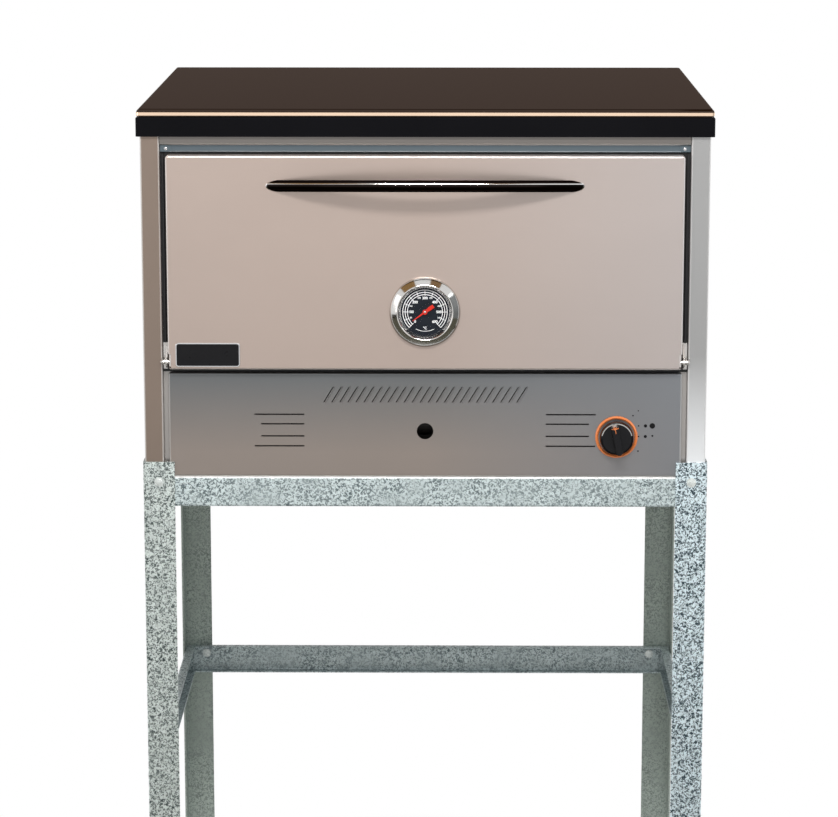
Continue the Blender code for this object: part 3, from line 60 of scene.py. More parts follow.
# %% A number on a link, and a board of nodes
class Wire:
    """A value on a link. Sums on it add Math nodes to its board."""

    def __init__(self, board, socket):
        self.board = board
        self.socket = socket

    def maths(self, operation, first, second):
        return self.board.node("ShaderNodeMath", {"operation": operation}, {0: first, 1: second})

    def __add__(self, other):
        return self.maths("ADD", self, other)

    __radd__ = __add__

    def __sub__(self, other):
        return self.maths("SUBTRACT", self, other)

    def __rsub__(self, other):
        return self.maths("SUBTRACT", other, self)

    def __mul__(self, other):
        return self.maths("MULTIPLY", self, other)

    __rmul__ = __mul__

    def __gt__(self, other):
        return self.maths("GREATER_THAN", self, other)

    def __abs__(self):
        return self.board.node("ShaderNodeMath", {"operation": "ABSOLUTE"}, {0: self})

    def near(self, place, width):
        """1 where this value is at a place, falling to 0 a width away."""
        return self.maths("MAXIMUM", 1 - abs(self - place) * (1 / width), 0.0)


class Board:
    """A node tree being built."""

    def __init__(self, tree):
        self.tree = tree

    def feed(self, socket, value):
        if isinstance(value, Wire):
            self.tree.links.new(value.socket, socket)
        else:
            socket.default_value = value

    def node(self, kind, settings=None, inputs=None, output=0):
        """Adds a node: its settings, then the value or link of each input. Returns one of its outputs."""
        made = self.tree.nodes.new(kind)
        for name, value in (settings or {}).items():
            if name == "stops":
                ramp = made.color_ramp
                while len(ramp.elements) < len(value):
                    ramp.elements.new(1.0)
                for stop, (place, level) in zip(ramp.elements, value):
                    stop.position = place
                    stop.color = (level, level, level, 1)
            else:
                setattr(made, name, value)
        for place, value in (inputs or {}).items():
            self.feed(made.inputs[place], value)
        return Wire(self, made.outputs[output])


# %% [markdown]
# ## A finish
# Every material here is one Principled BSDF. What is the same all over sits on the shader's own sockets,
# and only what changes over the surface gets nodes, in the object's own coordinates in metres.

# %% A finish
class Finish(Board):
    """A material: a Principled BSDF whose constants sit on its own sockets."""

    def __init__(self, name, colour, constants):
        self.material = bpy.data.materials.new(name)
        self.material.use_nodes = True
        super().__init__(self.material.node_tree)
        self.shader = self.tree.nodes["Principled BSDF"]
        self.material.diffuse_color = (*colour, 1)
        self.paint({"Base Color": (*colour, 1)})
        self.paint(constants)

    def paint(self, sockets):
        for name, value in sockets.items():
            self.feed(self.shader.inputs[name], value)

    def place(self, scale=(1, 1, 1)):
        """Object coordinates in metres, stretched by a Mapping node."""
        spot = self.node("ShaderNodeTexCoord", output="Object")
        return self.node("ShaderNodeMapping", {}, {"Vector": spot, "Scale": scale})

    def noise(self, place, scale, detail=2.0, rough=0.5, bend=0.0):
        values = {"Vector": place, "Scale": scale, "Detail": detail, "Roughness": rough, "Distortion": bend}
        return self.node("ShaderNodeTexNoise", {}, values, "Fac")

    def ramp(self, value, stops):
        return self.node("ShaderNodeValToRGB", {"stops": stops}, {"Fac": value})

    def blend(self, share, first, second):
        """One colour turning into another."""
        values = {0: share, 6: (*first, 1) if isinstance(first, tuple) else first,
                  7: (*second, 1) if isinstance(second, tuple) else second}
        return self.node("ShaderNodeMix", {"data_type": "RGBA"}, values, 2)

    def relief(self, height, depth, strength=1.0):
        """A bump whose height is given in metres."""
        bumped = self.node("ShaderNodeBump", {}, {"Strength": strength, "Distance": depth, "Height": height})
        self.paint({"Normal": bumped})

    def axis(self, name):
        """The object's own X, Y or Z as a number."""
        spot = self.node("ShaderNodeTexCoord", output="Object")
        return self.node("ShaderNodeSeparateXYZ", {}, {0: spot}, name)


# %% [markdown]
# ## Satin steel
# The shell is folded from thin stainless sheet with a satin face. It has hardly any visible grain: a soft
# cloudiness where the mill rolled it, and fine brush lines that only blur its reflections. Noise stretched
# along one direction gives the lines, and a wide noise gives the clouds. Along each bend a thin near-white
# line is painted as a highlight: the finish is lighter where both the place across the sheet and the place in
# depth are near the bend. The sheets also carry painted reflections and shade: they darken or lighten slowly
# from their lower edge to their upper one, and from the middle to the right.

# %% Satin steel
HALF_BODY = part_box("side_panel_right")[1].x
PAINTED_HIGHLIGHT_TONE = (0.98, 0.97, 0.96)
BEND_HIGHLIGHT_WIDTH = 2.2 * MM
FACE_DEPTH = 4 * MM
CLOUD_SCALE = 2.2
LINE_SCALE = 3.0
ALONG_THE_OVEN = (4, 4, 700)
UP_THE_OVEN = (700, 700, 4)
BRUSH_DEPTH = 0.02 * MM


def satin_steel(name, tone, rough, cloud=0.05, stroke=ALONG_THE_OVEN, painted_bend_lines=(), front=0.0, upper=None,
                span=(0, 1), side=None, flank=None):
    """Steel sheet. Each bend is (axis, place) and gets a painted highlight line. Over a span of heights the
    tone turns to a painted upper tone, and from the middle to the right of the oven to a painted side tone,
    as painted reflections and shade; behind the front face it turns to flank."""
    steel = Finish(name, tone, {"Metallic": 0.74, "Roughness": rough})
    clouds = steel.noise(steel.place((3, 3, 5)), CLOUD_SCALE, 3.0)
    lines = steel.noise(steel.place(stroke), LINE_SCALE, 2.0)
    mottle = clouds * 0.7 + lines * 0.3

    def clouded(colour):
        return steel.blend(mottle, tuple(part * (1 - cloud) for part in colour),
                           tuple(min(1.0, part * (1 + cloud)) for part in colour))

    colour = clouded(tone)
    # Painted reflections and shade: over a span of heights the tone turns to another one, and from the middle
    # to the right to a side tone.
    if upper:
        height = (steel.axis("Z") - span[0]) * (1 / (span[1] - span[0]))
        colour = steel.blend(height, colour, clouded(upper))
    if side:
        colour = steel.blend(steel.axis("X") * (1 / HALF_BODY), colour, clouded(side))
    if flank:
        colour = steel.blend(steel.axis("Y").near(front, FACE_DEPTH) > 0, clouded(flank), colour)
    # Painted highlight: a near-white line along each bend of the front face.
    for axis, place in painted_bend_lines:
        across = abs(steel.axis(axis)) if axis == "X" else steel.axis(axis)
        line = across.near(place, BEND_HIGHLIGHT_WIDTH) * steel.axis("Y").near(front, BEND_HIGHLIGHT_WIDTH)
        colour = steel.blend(line, colour, PAINTED_HIGHLIGHT_TONE)
    steel.paint({"Base Color": colour})
    steel.paint({"Roughness": clouds * 0.06 + lines * 0.05 + (rough - 0.055)})
    steel.relief(lines, BRUSH_DEPTH, 0.25)
    return steel


# %% [markdown]
# ## The sheets of the oven
# Each sheet gets its own tone, a painted reflection of what it faces in the room. Where it begins and ends,
# and where its painted bend highlights are, comes from the boxes of the CAD pieces.

# %% Sheet finishes
panel_low, panel_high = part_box("control_panel")
door_low, door_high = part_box("door_skin")
header_low, header_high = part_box("header")
FACE_Y = panel_low.y
POST_INNER = header_high.x + 0.3 * MM
FLANK_TONE = (0.42, 0.40, 0.385)
POST_BEND_HIGHLIGHTS = (("X", POST_INNER), ("X", HALF_BODY))
STRIP_TOP_Z = header_low.z + 9.7 * MM

# Painted reflections and shade: the door turns greyer to the right, the header's lower strip is painted dark,
# and the panel is painted darker at its top and bluer to the right.
door_steel = satin_steel("door_steel", (0.455, 0.372, 0.330), 0.34, front=door_low.y,
                         painted_bend_lines=(("X", door_high.x), ("Z", door_high.z), ("Z", door_low.z)),
                         side=(0.46, 0.415, 0.40))
# Painted reflections: the left post's front face is painted dark brown and the right post's light with a
# darker top, both of one satin steel.
left_post_steel = satin_steel("left_post_steel", (0.245, 0.192, 0.158), 0.33, stroke=UP_THE_OVEN,
                              painted_bend_lines=POST_BEND_HIGHLIGHTS, front=FACE_Y, flank=FLANK_TONE)
right_post_steel = satin_steel("right_post_steel", (0.88, 0.90, 0.92), 0.33, stroke=UP_THE_OVEN,
                               painted_bend_lines=POST_BEND_HIGHLIGHTS, front=FACE_Y, upper=(0.36, 0.36, 0.36), span=(0.80, 0.93),
                               flank=FLANK_TONE)
header_steel = satin_steel("header_steel", (0.105, 0.135, 0.155), 0.30, upper=(0.175, 0.163, 0.152),
                           span=(STRIP_TOP_Z - MM, STRIP_TOP_Z), painted_bend_lines=(("Z", STRIP_TOP_Z),), front=FACE_Y)
panel_steel = satin_steel("panel_steel", (0.30, 0.258, 0.232), 0.34, upper=(0.160, 0.168, 0.173),
                          span=(panel_low.z + 30 * MM, panel_high.z - 8 * MM), front=FACE_Y,
                          painted_bend_lines=(("X", panel_high.x), ("Z", panel_low.z)), side=(0.225, 0.236, 0.254))
rear_steel = satin_steel("rear_steel", FLANK_TONE, 0.38)
liner_steel = satin_steel("liner_steel", (0.32, 0.31, 0.30), 0.45, cloud=0.12)
# The mouth frame is painted near-black as painted shade, where it shows through the gaps round the door.
mouth_steel = satin_steel("mouth_steel", (0.030, 0.030, 0.031), 0.40, cloud=0.12)
hinge_steel = satin_steel("hinge_steel", (0.60, 0.58, 0.56), 0.28, cloud=0.10)
print("sheet finishes ready, door", round((door_high.x - door_low.x) / MM), "mm wide")

# %% [markdown]
# ## Galvanised steel
# Hot zinc freezes on the stand's steel as crystals, and this stand's are small, sharp and strongly mottled:
# pale flakes and dark crooked gaps a millimetre or two wide. A Voronoi texture gives each crystal its own
# shade, a bent noise draws the crooked gaps, and a wider noise makes some places plainer than others.

# %% Zinc finishes
CREST_WIDTH = 2.6 * MM
CRYSTALS_PER_METRE = 300.0
PATCHES_PER_METRE = 26.0
FLAKE_DEPTH = 0.12 * MM
FLAKE_MEAN = 0.58


def galvanised(name, dark, pale, contrast, plain, fine=370.0, crest=0.0):
    """Spangled zinc, with a painted highlight line where a sheet is folded at the height of its crest, if it
    has one.
    """
    zinc = Finish(name, pale, {"Metallic": 0.55, "Roughness": 0.45})
    spot = zinc.place()
    crystals = zinc.node("ShaderNodeTexVoronoi", {}, {"Vector": spot, "Scale": CRYSTALS_PER_METRE}, "Color")
    shade = zinc.node("ShaderNodeSeparateColor", {}, {0: crystals}, 0)
    crooked = zinc.noise(spot, fine, 0.7, 0.5, 1.2)
    gaps = zinc.ramp(crooked, [(0.45, 0.0), (0.475, 0.4), (0.51, 1.0)])
    patches = zinc.ramp(zinc.noise(spot, PATCHES_PER_METRE, 2.0), [(0.35, plain), (0.65, 1.0)])
    flakes = gaps * 0.72 + shade * 0.28
    level = (flakes - FLAKE_MEAN) * patches * contrast + FLAKE_MEAN
    colour = zinc.blend(level, dark, pale)
    # Painted highlight: the fold at the crest's height is painted near-white.
    if crest:
        colour = zinc.blend(zinc.axis("Z").near(crest, CREST_WIDTH) * 0.95, colour, PAINTED_HIGHLIGHT_TONE)
    zinc.paint({"Base Color": colour, "Roughness": 0.56 - flakes * 0.22})
    zinc.relief(flakes, FLAKE_DEPTH, 0.55)
    return zinc


# The right front leg is painted lighter and bluer as a painted reflection, and the rear legs and rails darker
# as painted shade.
leg_zinc = galvanised("leg_zinc", (0.045, 0.065, 0.064), (0.69, 0.76, 0.74), 1.15, 0.75)
right_leg_zinc = galvanised("right_leg_zinc", (0.025, 0.050, 0.065), (0.73, 0.85, 0.90), 1.3, 0.9)
front_rail_zinc = galvanised("front_rail_zinc", (0.10, 0.135, 0.145), (0.66, 0.75, 0.76), 1.1, 0.45,
                             330.0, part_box("rail_front")[1].z)
brace_zinc = galvanised("brace_zinc", (0.10, 0.135, 0.145), (0.60, 0.68, 0.69), 1.1, 0.5)
rear_zinc = galvanised("rear_zinc", (0.16, 0.19, 0.175), (0.40, 0.46, 0.42), 0.9, 0.3)
print("zinc finishes ready")

# %% [markdown]
# ## Enamel, chrome and plastic
# The lid is one dark mirror-bright sheet over a black band. A mirror finish at a low angle shows whatever
# is behind the oven, so the sheet is made a metal with a brown edge tint, which keeps it warm. One function
# makes every smooth coat: it lets the colour and the gloss drift a little, and adds a slight orange peel.

# %% A smooth coat
def smooth_finish(name, colour, constants, speck=0.10, scale=60.0, depth=0.00001):
    """A smooth coat with a faint unevenness in its colour and gloss, and a slight orange peel."""
    coat = Finish(name, colour, constants)
    drift = coat.noise(coat.place(), scale, 3.0)
    darker = tuple(part * (1 - speck) for part in colour)
    lighter = tuple(min(1.0, part * (1 + speck)) for part in colour)
    rough = constants["Roughness"]
    coat.paint({"Base Color": coat.blend(drift, darker, lighter)})
    coat.paint({"Roughness": drift * rough * 0.5 + rough * 0.75})
    if depth:
        coat.relief(coat.noise(coat.place(), scale * 6, 1.0), depth, 0.3)
    return coat


def metal(rough, edge=None):
    """The constants of a bare metal, and the tint that it mirrors at its edges."""
    return {"Metallic": 1.0, "Roughness": rough} | ({"Specular Tint": (*edge, 1)} if edge else {})


def gloss(rough, mirror):
    """The constants of paint or plastic, and how strongly it mirrors."""
    return {"Roughness": rough, "Specular IOR Level": mirror}


# %% [markdown]
# ## Metals and coats
# The handle is smoked chrome with painted highlights along its crown and at its two ends. The bezel and the
# rack are bright chrome, and the gas fittings are brass. The dial, the needle, the ring and the printed marks
# are painted or moulded. The glass is so thin that it hardly bends the light.

# %% Metals
SMOKED_TONE = (0.016, 0.011, 0.010)
lid_gloss = smooth_finish("lid_gloss", (0.050, 0.034, 0.026), metal(0.07, (0.60, 0.50, 0.45)), 0.12, 3.0)
# A bright warm metal for the strip that is a painted highlight on the lid's edge.
edge_bright = smooth_finish("edge_bright", (0.93, 0.70, 0.52), metal(0.2), 0.08, 9.0)
smoked_chrome = smooth_finish("smoked_chrome", SMOKED_TONE, metal(0.12, (0.12, 0.10, 0.10)))
# Painted highlights: near-white along the tube's crown and beside the door at its two ends.
crown = smoked_chrome.node("ShaderNodeAttribute", {"attribute_name": "crown"}, {}, "Fac")
end_highlights = smoked_chrome.axis("Y").near(door_low.y - 0.3 * MM, 0.9 * MM)
painted_highlight = crown.maths("MAXIMUM", crown, end_highlights)
smoked_chrome.paint({"Base Color": smoked_chrome.blend(painted_highlight, SMOKED_TONE, PAINTED_HIGHLIGHT_TONE)})
bright_chrome = smooth_finish("bright_chrome", (0.62, 0.61, 0.595), metal(0.11), 0.03, depth=0.0)
rack_chrome = smooth_finish("rack_chrome", (0.62, 0.61, 0.60), metal(0.18), 0.10)
brass = smooth_finish("brass", (0.62, 0.46, 0.20), metal(0.30), 0.15)
plate_silver = smooth_finish("plate_silver", (0.66, 0.66, 0.67), metal(0.25), 0.05, 120.0)
print("metals ready")

# %% Paint, print and glass
MARK_TONE = (0.007, 0.007, 0.008)
black_enamel = smooth_finish("black_enamel", (0.004, 0.004, 0.005), gloss(0.10, 0.03), 0.2, 9.0)
dial_black = smooth_finish("dial_black", (0.008, 0.011, 0.016), gloss(0.45, 0.15), 0.15, 200.0, 0.0)
dial_white = smooth_finish("dial_white", (0.85, 0.86, 0.87), {"Roughness": 0.5}, 0.03, 300.0)
needle_red = smooth_finish("needle_red", (0.50, 0.022, 0.012), gloss(0.4, 0.2), 0.08, 200.0)
ring_orange = smooth_finish("ring_orange", (0.60, 0.17, 0.045), {"Roughness": 0.36}, 0.10, 120.0)
mark_ink = smooth_finish("mark_ink", MARK_TONE, gloss(0.5, 0.1), 0.2, 200.0)
plate_black = smooth_finish("plate_black", MARK_TONE, gloss(0.3, 0.12), 0.2, 120.0)
THIN_GLASS = {"Roughness": 0.02, "IOR": 1.15, "Transmission Weight": 1.0, "Alpha": 0.05}
clear_glass = smooth_finish("clear_glass", (0.95, 0.97, 0.97), THIN_GLASS, 0.01, depth=0.0)
print("coats ready")

# %% [markdown]
# ## The knob's plastic
# A highlight is painted on the knob's rim: a thin ring at the rim's radius, kept to the upper half, where the
# plastic turns grey.

# %% Knob plastic with a painted rim highlight
KNOB_TONE = (0.005, 0.005, 0.006)
RIM_HIGHLIGHT_TONE = (0.8, 0.78, 0.75)
KNOB_RIM_RADIUS = 18.2 * MM
RIM_HIGHLIGHT_WIDTH = 0.8 * MM
RIM_HIGHLIGHT_ABOVE = 4 * MM
knob_low, knob_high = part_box("knob")
knob_centre = (knob_low + knob_high) / 2
knob_plastic = smooth_finish("knob_plastic", KNOB_TONE, gloss(0.12, 0.16), 0.2, 90.0, 0.00002)
apart = knob_plastic.node("ShaderNodeVectorMath", {"operation": "DISTANCE"},
                          {0: knob_plastic.place((1, 0, 1)), 1: (knob_centre.x, 0, knob_centre.z)}, "Value")
# Painted highlight: a grey ring on the upper half of the rim.
rim_highlight = apart.near(KNOB_RIM_RADIUS, RIM_HIGHLIGHT_WIDTH) * (knob_plastic.axis("Z") > knob_centre.z + RIM_HIGHLIGHT_ABOVE)
knob_plastic.paint({"Base Color": knob_plastic.blend(rim_highlight * 0.5, KNOB_TONE, RIM_HIGHLIGHT_TONE)})
print("knob plastic ready")

# %% [markdown]
# ## Iron, stone and wool
# These are rough all through. Fine noise gives the cast iron its grain, the stone its pores and the wool
# its fibres, and the same noise lifts the surface. The stone is also scorched in wide soft patches.

# %% Iron, stone and wool
burner_iron = Finish("burner_iron", (0.07, 0.07, 0.075), {"Metallic": 0.6, "Roughness": 0.6})
grain = burner_iron.noise(burner_iron.place(), 480.0, 4.0, 0.6)
burner_iron.paint({"Base Color": burner_iron.blend(grain, (0.04, 0.04, 0.045), (0.12, 0.105, 0.09)),
                   "Roughness": grain * 0.25 + 0.45})
burner_iron.relief(grain, 0.0002, 0.6)

deck_stone = Finish("deck_stone", (0.50, 0.45, 0.37), {"Roughness": 0.92})
pores = deck_stone.noise(deck_stone.place(), 300.0, 4.0, 0.65)
scorch = deck_stone.noise(deck_stone.place(), 9.0, 2.0)
pale_stone = deck_stone.blend(pores, (0.40, 0.35, 0.28), (0.60, 0.55, 0.46))
deck_stone.paint({"Base Color": deck_stone.blend(scorch * 0.5, pale_stone, (0.30, 0.24, 0.18))})
deck_stone.relief(pores, 0.0003, 0.7)

mineral_wool = Finish("mineral_wool", (0.50, 0.44, 0.28), {"Roughness": 0.95})
fibres = mineral_wool.noise(mineral_wool.place((1, 1, 6)), 160.0, 5.0, 0.7, 0.8)
mineral_wool.paint({"Base Color": mineral_wool.blend(fibres, (0.33, 0.28, 0.16), (0.66, 0.60, 0.42))})
mineral_wool.relief(fibres, 0.001, 0.9)
print("iron, stone and wool ready")

# %% [markdown]
# ## A finish for every CAD piece
# A node that has the right shape stays, and only its material changes. The list gives a finish for the
# beginning of a name, and the longest beginning that fits wins, so the right front leg has its own.

# %% Dress the CAD pieces
FINISH_OF = {
    "leg_front": leg_zinc, "leg_front_right": right_leg_zinc, "leg_rear": rear_zinc,
    "rail_front": front_rail_zinc, "rail": rear_zinc, "brace": brace_zinc,
    "side_panel_left": left_post_steel, "side_panel_right": right_post_steel, "rear_panel": rear_steel,
    "header": header_steel, "mouth_frame": mouth_steel, "control_panel": panel_steel,
    "base_pan": liner_steel, "liner": liner_steel,
    "heat_deflector": liner_steel, "hinge": hinge_steel, "lid_pan": black_enamel, "lid_plate": lid_gloss,
    "wool": mineral_wool, "baking_stone": deck_stone, "wire_rack": rack_chrome, "burner": burner_iron,
    "mixing_tube": burner_iron, "injector": brass, "gas": brass, "knob": knob_plastic,
    "knob_ring": ring_orange, "valve": hinge_steel,
    "door_skin": door_steel, "door_liner": liner_steel, "door_wool": mineral_wool,
    "door_handle": smoked_chrome, "thermometer_case": bright_chrome, "thermometer_dial": dial_black,
    "thermometer_glass": clear_glass, "thermometer_stem": hinge_steel, "thermometer_nut": brass,
    "thermometer_needle": needle_red,
}

for name, node in nodes.items():
    start = max((key for key in FINISH_OF if name.startswith(key)), key=len)
    node.data.materials.clear()
    node.data.materials.append(FINISH_OF[start].material)
print("dressed", len(nodes), "nodes")

# %% [markdown]
# ## Making a mesh, and repeating one
# Bolts, screws, lips and scale marks repeat, so a Geometry Nodes tree makes them: it takes a mesh of
# points, puts one small shape at each, and ends in a real mesh with its material. Its sizes are named
# inputs, so that they can be changed in the modifier. The result is then kept as a plain mesh.

# %% Meshes and trees
def mesh_object(name, shape, finish=None):
    """An object from a bmesh whose faces are turned outwards."""
    bmesh.ops.recalc_face_normals(shape, faces=shape.faces)
    mesh = bpy.data.meshes.new(name)
    shape.to_mesh(mesh)
    shape.free()
    made = bpy.data.objects.new(name, mesh)
    bpy.context.scene.collection.objects.link(made)
    if finish:
        mesh.materials.append(finish.material)
    return made


def on_body(piece, body):
    """The piece moves with a body."""
    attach(piece, body)
    return piece


class Repeat(Board):
    """A Geometry Nodes tree with named inputs for its sizes."""

    def __init__(self, name, sizes):
        tree = bpy.data.node_groups.new(name, "GeometryNodeTree")
        super().__init__(tree)
        tree.interface.new_socket("Points", in_out="INPUT", socket_type="NodeSocketGeometry")
        self.sizes = {}
        for size, value in sizes.items():
            kind = "NodeSocketInt" if isinstance(value, int) else "NodeSocketFloat"
            socket = tree.interface.new_socket(size, in_out="INPUT", socket_type=kind)
            socket.default_value = value
            self.sizes[size] = socket.identifier
        tree.interface.new_socket("Mesh", in_out="OUTPUT", socket_type="NodeSocketGeometry")
        self.entry = tree.nodes.new("NodeGroupInput")
        self.exit = tree.nodes.new("NodeGroupOutput")

    def given(self, name):
        return Wire(self, self.entry.outputs[name])

    def attribute(self, name, kind="FLOAT_VECTOR"):
        return self.node("GeometryNodeInputNamedAttribute", {"data_type": kind}, {"Name": name})

    def scatter(self, shape, turn=None, scale=None):
        """One shape at each point, turned and scaled."""
        inputs = {"Points": self.given("Points"), "Instance": shape}
        if turn:
            inputs["Rotation"] = turn
        if scale:
            inputs["Scale"] = scale
        return self.node("GeometryNodeInstanceOnPoints", {}, inputs)

    def close(self, geometry, finish):
        """Ends the tree: instances become a mesh, and the mesh gets its material."""
        real = self.node("GeometryNodeRealizeInstances", {}, {0: geometry})
        dressed = self.node("GeometryNodeSetMaterial", {}, {"Geometry": real, "Material": finish.material})
        self.feed(self.exit.inputs[0], dressed)

    def grow(self, name, points, attributes=None, sizes=None):
        """Runs the tree on a list of points and keeps the result as a plain mesh."""
        seedbed = bpy.data.meshes.new(name)
        seedbed.from_pydata([tuple(point) for point in points], [], [])
        for label, values in (attributes or {}).items():
            vector = isinstance(values[0], tuple)
            layer = seedbed.attributes.new(label, "FLOAT_VECTOR" if vector else "FLOAT", "POINT")
            for entry, value in zip(layer.data, values):
                if vector:
                    entry.vector = value
                else:
                    entry.value = value
        piece = bpy.data.objects.new(name, seedbed)
        bpy.context.scene.collection.objects.link(piece)
        modifier = piece.modifiers.new("repeat", "NODES")
        modifier.node_group = self.tree
        for size, value in (sizes or {}).items():
            modifier[self.sizes[size]] = value
        graph = bpy.context.evaluated_depsgraph_get()
        grown = bpy.data.meshes.new_from_object(piece.evaluated_get(graph))
        grown.name = name
        piece.modifiers.clear()
        piece.data = grown
        return piece


# %% [markdown]
# ## Bolts and screws
# The stand is bolted to the oven and to its braces with round-shouldered hexagon bolts, and the rear panel
# is held by small pan-head screws. A fastener is a stack: a washer, a head with six or many sides, and a
# low dome on it. Each point carries the direction in which its fastener faces.

# %% A tree for fasteners
def fastener_tree(name, finish, sides):
    tree = Repeat(name, {"Washer Radius": 5.8 * MM, "Washer Height": 0.6 * MM, "Head Radius": 4.6 * MM,
                         "Head Height": 1.1 * MM, "Dome Height": 0.7 * MM, "Around": 20})
    washer_height = tree.given("Washer Height")
    head_height = tree.given("Head Height")

    def disc(radius, height, vertices, base):
        shape = tree.node("GeometryNodeMeshCylinder", {"fill_type": "NGON"},
                          {"Vertices": vertices, "Radius": radius, "Depth": height})
        lift = tree.node("ShaderNodeCombineXYZ", {}, {"Z": height * 0.5 + base})
        return tree.node("GeometryNodeTransform", {}, {"Geometry": shape, "Translation": lift})

    washer = disc(tree.given("Washer Radius"), washer_height, tree.given("Around"), 0.0)
    head = disc(tree.given("Head Radius"), head_height, sides, washer_height)
    ball = tree.node("GeometryNodeMeshUVSphere", {}, {"Segments": 16, "Rings": 8, "Radius": 1.0})
    width = tree.given("Head Radius") * 0.84
    squash = tree.node("ShaderNodeCombineXYZ", {}, {"X": width, "Y": width, "Z": tree.given("Dome Height")})
    lift = tree.node("ShaderNodeCombineXYZ", {}, {"Z": washer_height + head_height})
    dome = tree.node("GeometryNodeTransform", {}, {"Geometry": ball, "Translation": lift, "Scale": squash})
    stack = tree.tree.nodes.new("GeometryNodeJoinGeometry")
    for part in (dome, head, washer):
        tree.feed(stack.inputs[0], part)
    turn = tree.node("FunctionNodeAlignRotationToVector", {"axis": "Z"}, {"Vector": tree.attribute("facing")})
    tree.close(tree.scatter(Wire(tree, stack.outputs[0]), turn), finish)
    return tree


bolt_zinc = galvanised("bolt_zinc", (0.38, 0.42, 0.41), (0.80, 0.84, 0.83), 0.6, 0.5)
bolt_tree = fastener_tree("stand_bolt", bolt_zinc, 6)
screw_tree = fastener_tree("pan_screw", plate_silver, 18)
print("fastener trees ready")

# %% [markdown]
# ## Where the bolts go
# Each leg is bolted to its rails near its top and to its braces at mid height, through the middle of each
# side of the angle. One list holds the places and another the directions.

# %% Bolts of the stand
leg_low, leg_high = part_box("leg_front_right")
rear_low, rear_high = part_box("leg_rear_right")
brace_low, brace_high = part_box("brace_rear")
rail_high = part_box("rail_front")[1]
BOLT_INSET = 19 * MM
leg_middle = leg_high.x - BOLT_INSET
top_bolt_z = rail_high.z - 6 * MM
brace_bolt_z = (brace_low.z + brace_high.z) / 2
front_side_y = leg_low.y + BOLT_INSET
rear_side_y = rear_high.y - BOLT_INSET
points = []
facing = []


def bolt(x, y, z, towards):
    points.append((x, y, z))
    facing.append(towards)


for side in (-1, 1):
    bolt(side * leg_middle, leg_low.y, top_bolt_z, (0, -1, 0))
    bolt(side * leg_middle, rear_high.y, top_bolt_z, (0, 1, 0))
    bolt(side * leg_middle, rear_high.y, brace_bolt_z, (0, 1, 0))
    bolt(side * (leg_low.x + 7 * MM), rear_low.y + 24 * MM, brace_high.z - 9 * MM, (0, -1, 0))
    for place_y in (front_side_y, rear_side_y):
        for height in (top_bolt_z, brace_bolt_z):
            bolt(side * leg_high.x, place_y, height, (side, 0, 0))
low_heads = {"Washer Height": 0.4 * MM, "Head Height": 0.9 * MM, "Dome Height": 0.5 * MM}
stand_bolts = bolt_tree.grow("stand_bolts", points, {"facing": facing}, low_heads)
on_body(stand_bolts, "oven_body")
print(len(points), "stand bolts,", len(stand_bolts.data.vertices), "vertices")

# %% [markdown]
# ## Screws
# The header hangs on two small screws, just inside the posts. The rear panel comes off for service, so
# screws hold it all round.

# %% Screws of the header and the rear panel
skin_low, skin_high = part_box("rear_panel")
points = []
facing = []
LUG_FACE_Y = header_low.y + 4 * MM
for side in (-1, 1):
    bolt(side * (header_high.x - 7 * MM), LUG_FACE_Y, header_low.z + 4.8 * MM, (0, -1, 0))
    for share in (0.04, 0.35, 0.65, 0.96):
        height = skin_low.z + (skin_high.z - skin_low.z) * share
        bolt(side * (skin_high.x - 10 * MM), skin_high.y, height, (0, 1, 0))
for share in (-0.45, 0.45):
    for height in (skin_low.z + 10 * MM, skin_high.z - 26 * MM):
        bolt(skin_high.x * share, skin_high.y, height, (0, 1, 0))
small = {"Washer Radius": 1.9 * MM, "Washer Height": 0.2 * MM, "Head Radius": 1.7 * MM,
         "Head Height": 0.4 * MM, "Dome Height": 0.4 * MM}
panel_screws = screw_tree.grow("panel_screws", points, {"facing": facing}, small)
on_body(panel_screws, "oven_body")
print(len(points), "screws")

# %% [markdown]
# ## The pressed louvre row
# Twenty-five short leaning cuts let air in over the burner. The press raises one edge of each cut a
# little, and that lip catches the light beside the dark slit. Each lip is a thin round bar half sunk in the
# panel, so the tree sweeps a small circle along a leaning line and repeats it at the pitch of the cuts.

# %% Louvre lips
LOUVRE_COUNT = 25
LOUVRE_PITCH = 9.65 * MM
LOUVRE_LEAN = 11.5 * MM
LOUVRE_HEIGHT = 19 * MM
LOUVRE_BASE = 91.3 * MM
LIP_OFFSET = 1.7 * MM
lip_tree = Repeat("louvre_lip", {"Lip Radius": 0.75 * MM, "Lean": LOUVRE_LEAN, "Height": LOUVRE_HEIGHT})
foot = lip_tree.node("ShaderNodeCombineXYZ", {}, {"X": lip_tree.given("Lean") * -0.5})
head = lip_tree.node("ShaderNodeCombineXYZ", {},
                     {"X": lip_tree.given("Lean") * 0.5, "Z": lip_tree.given("Height")})
line = lip_tree.node("GeometryNodeCurvePrimitiveLine", {}, {"Start": foot, "End": head})
section = lip_tree.node("GeometryNodeCurvePrimitiveCircle", {},
                        {"Resolution": 8, "Radius": lip_tree.given("Lip Radius")})
lip = lip_tree.node("GeometryNodeCurveToMesh", {},
                    {"Curve": line, "Profile Curve": section, "Fill Caps": True})
lip_tree.close(lip_tree.scatter(lip), panel_steel)
middle = (LOUVRE_COUNT - 1) / 2
row = [((place - middle) * LOUVRE_PITCH + LIP_OFFSET, panel_low.y, panel_low.z + LOUVRE_BASE)
       for place in range(LOUVRE_COUNT)]
louvre_lips = lip_tree.grow("louvre_lips", row)
on_body(louvre_lips, "oven_body")
print("louvre lips", len(row))

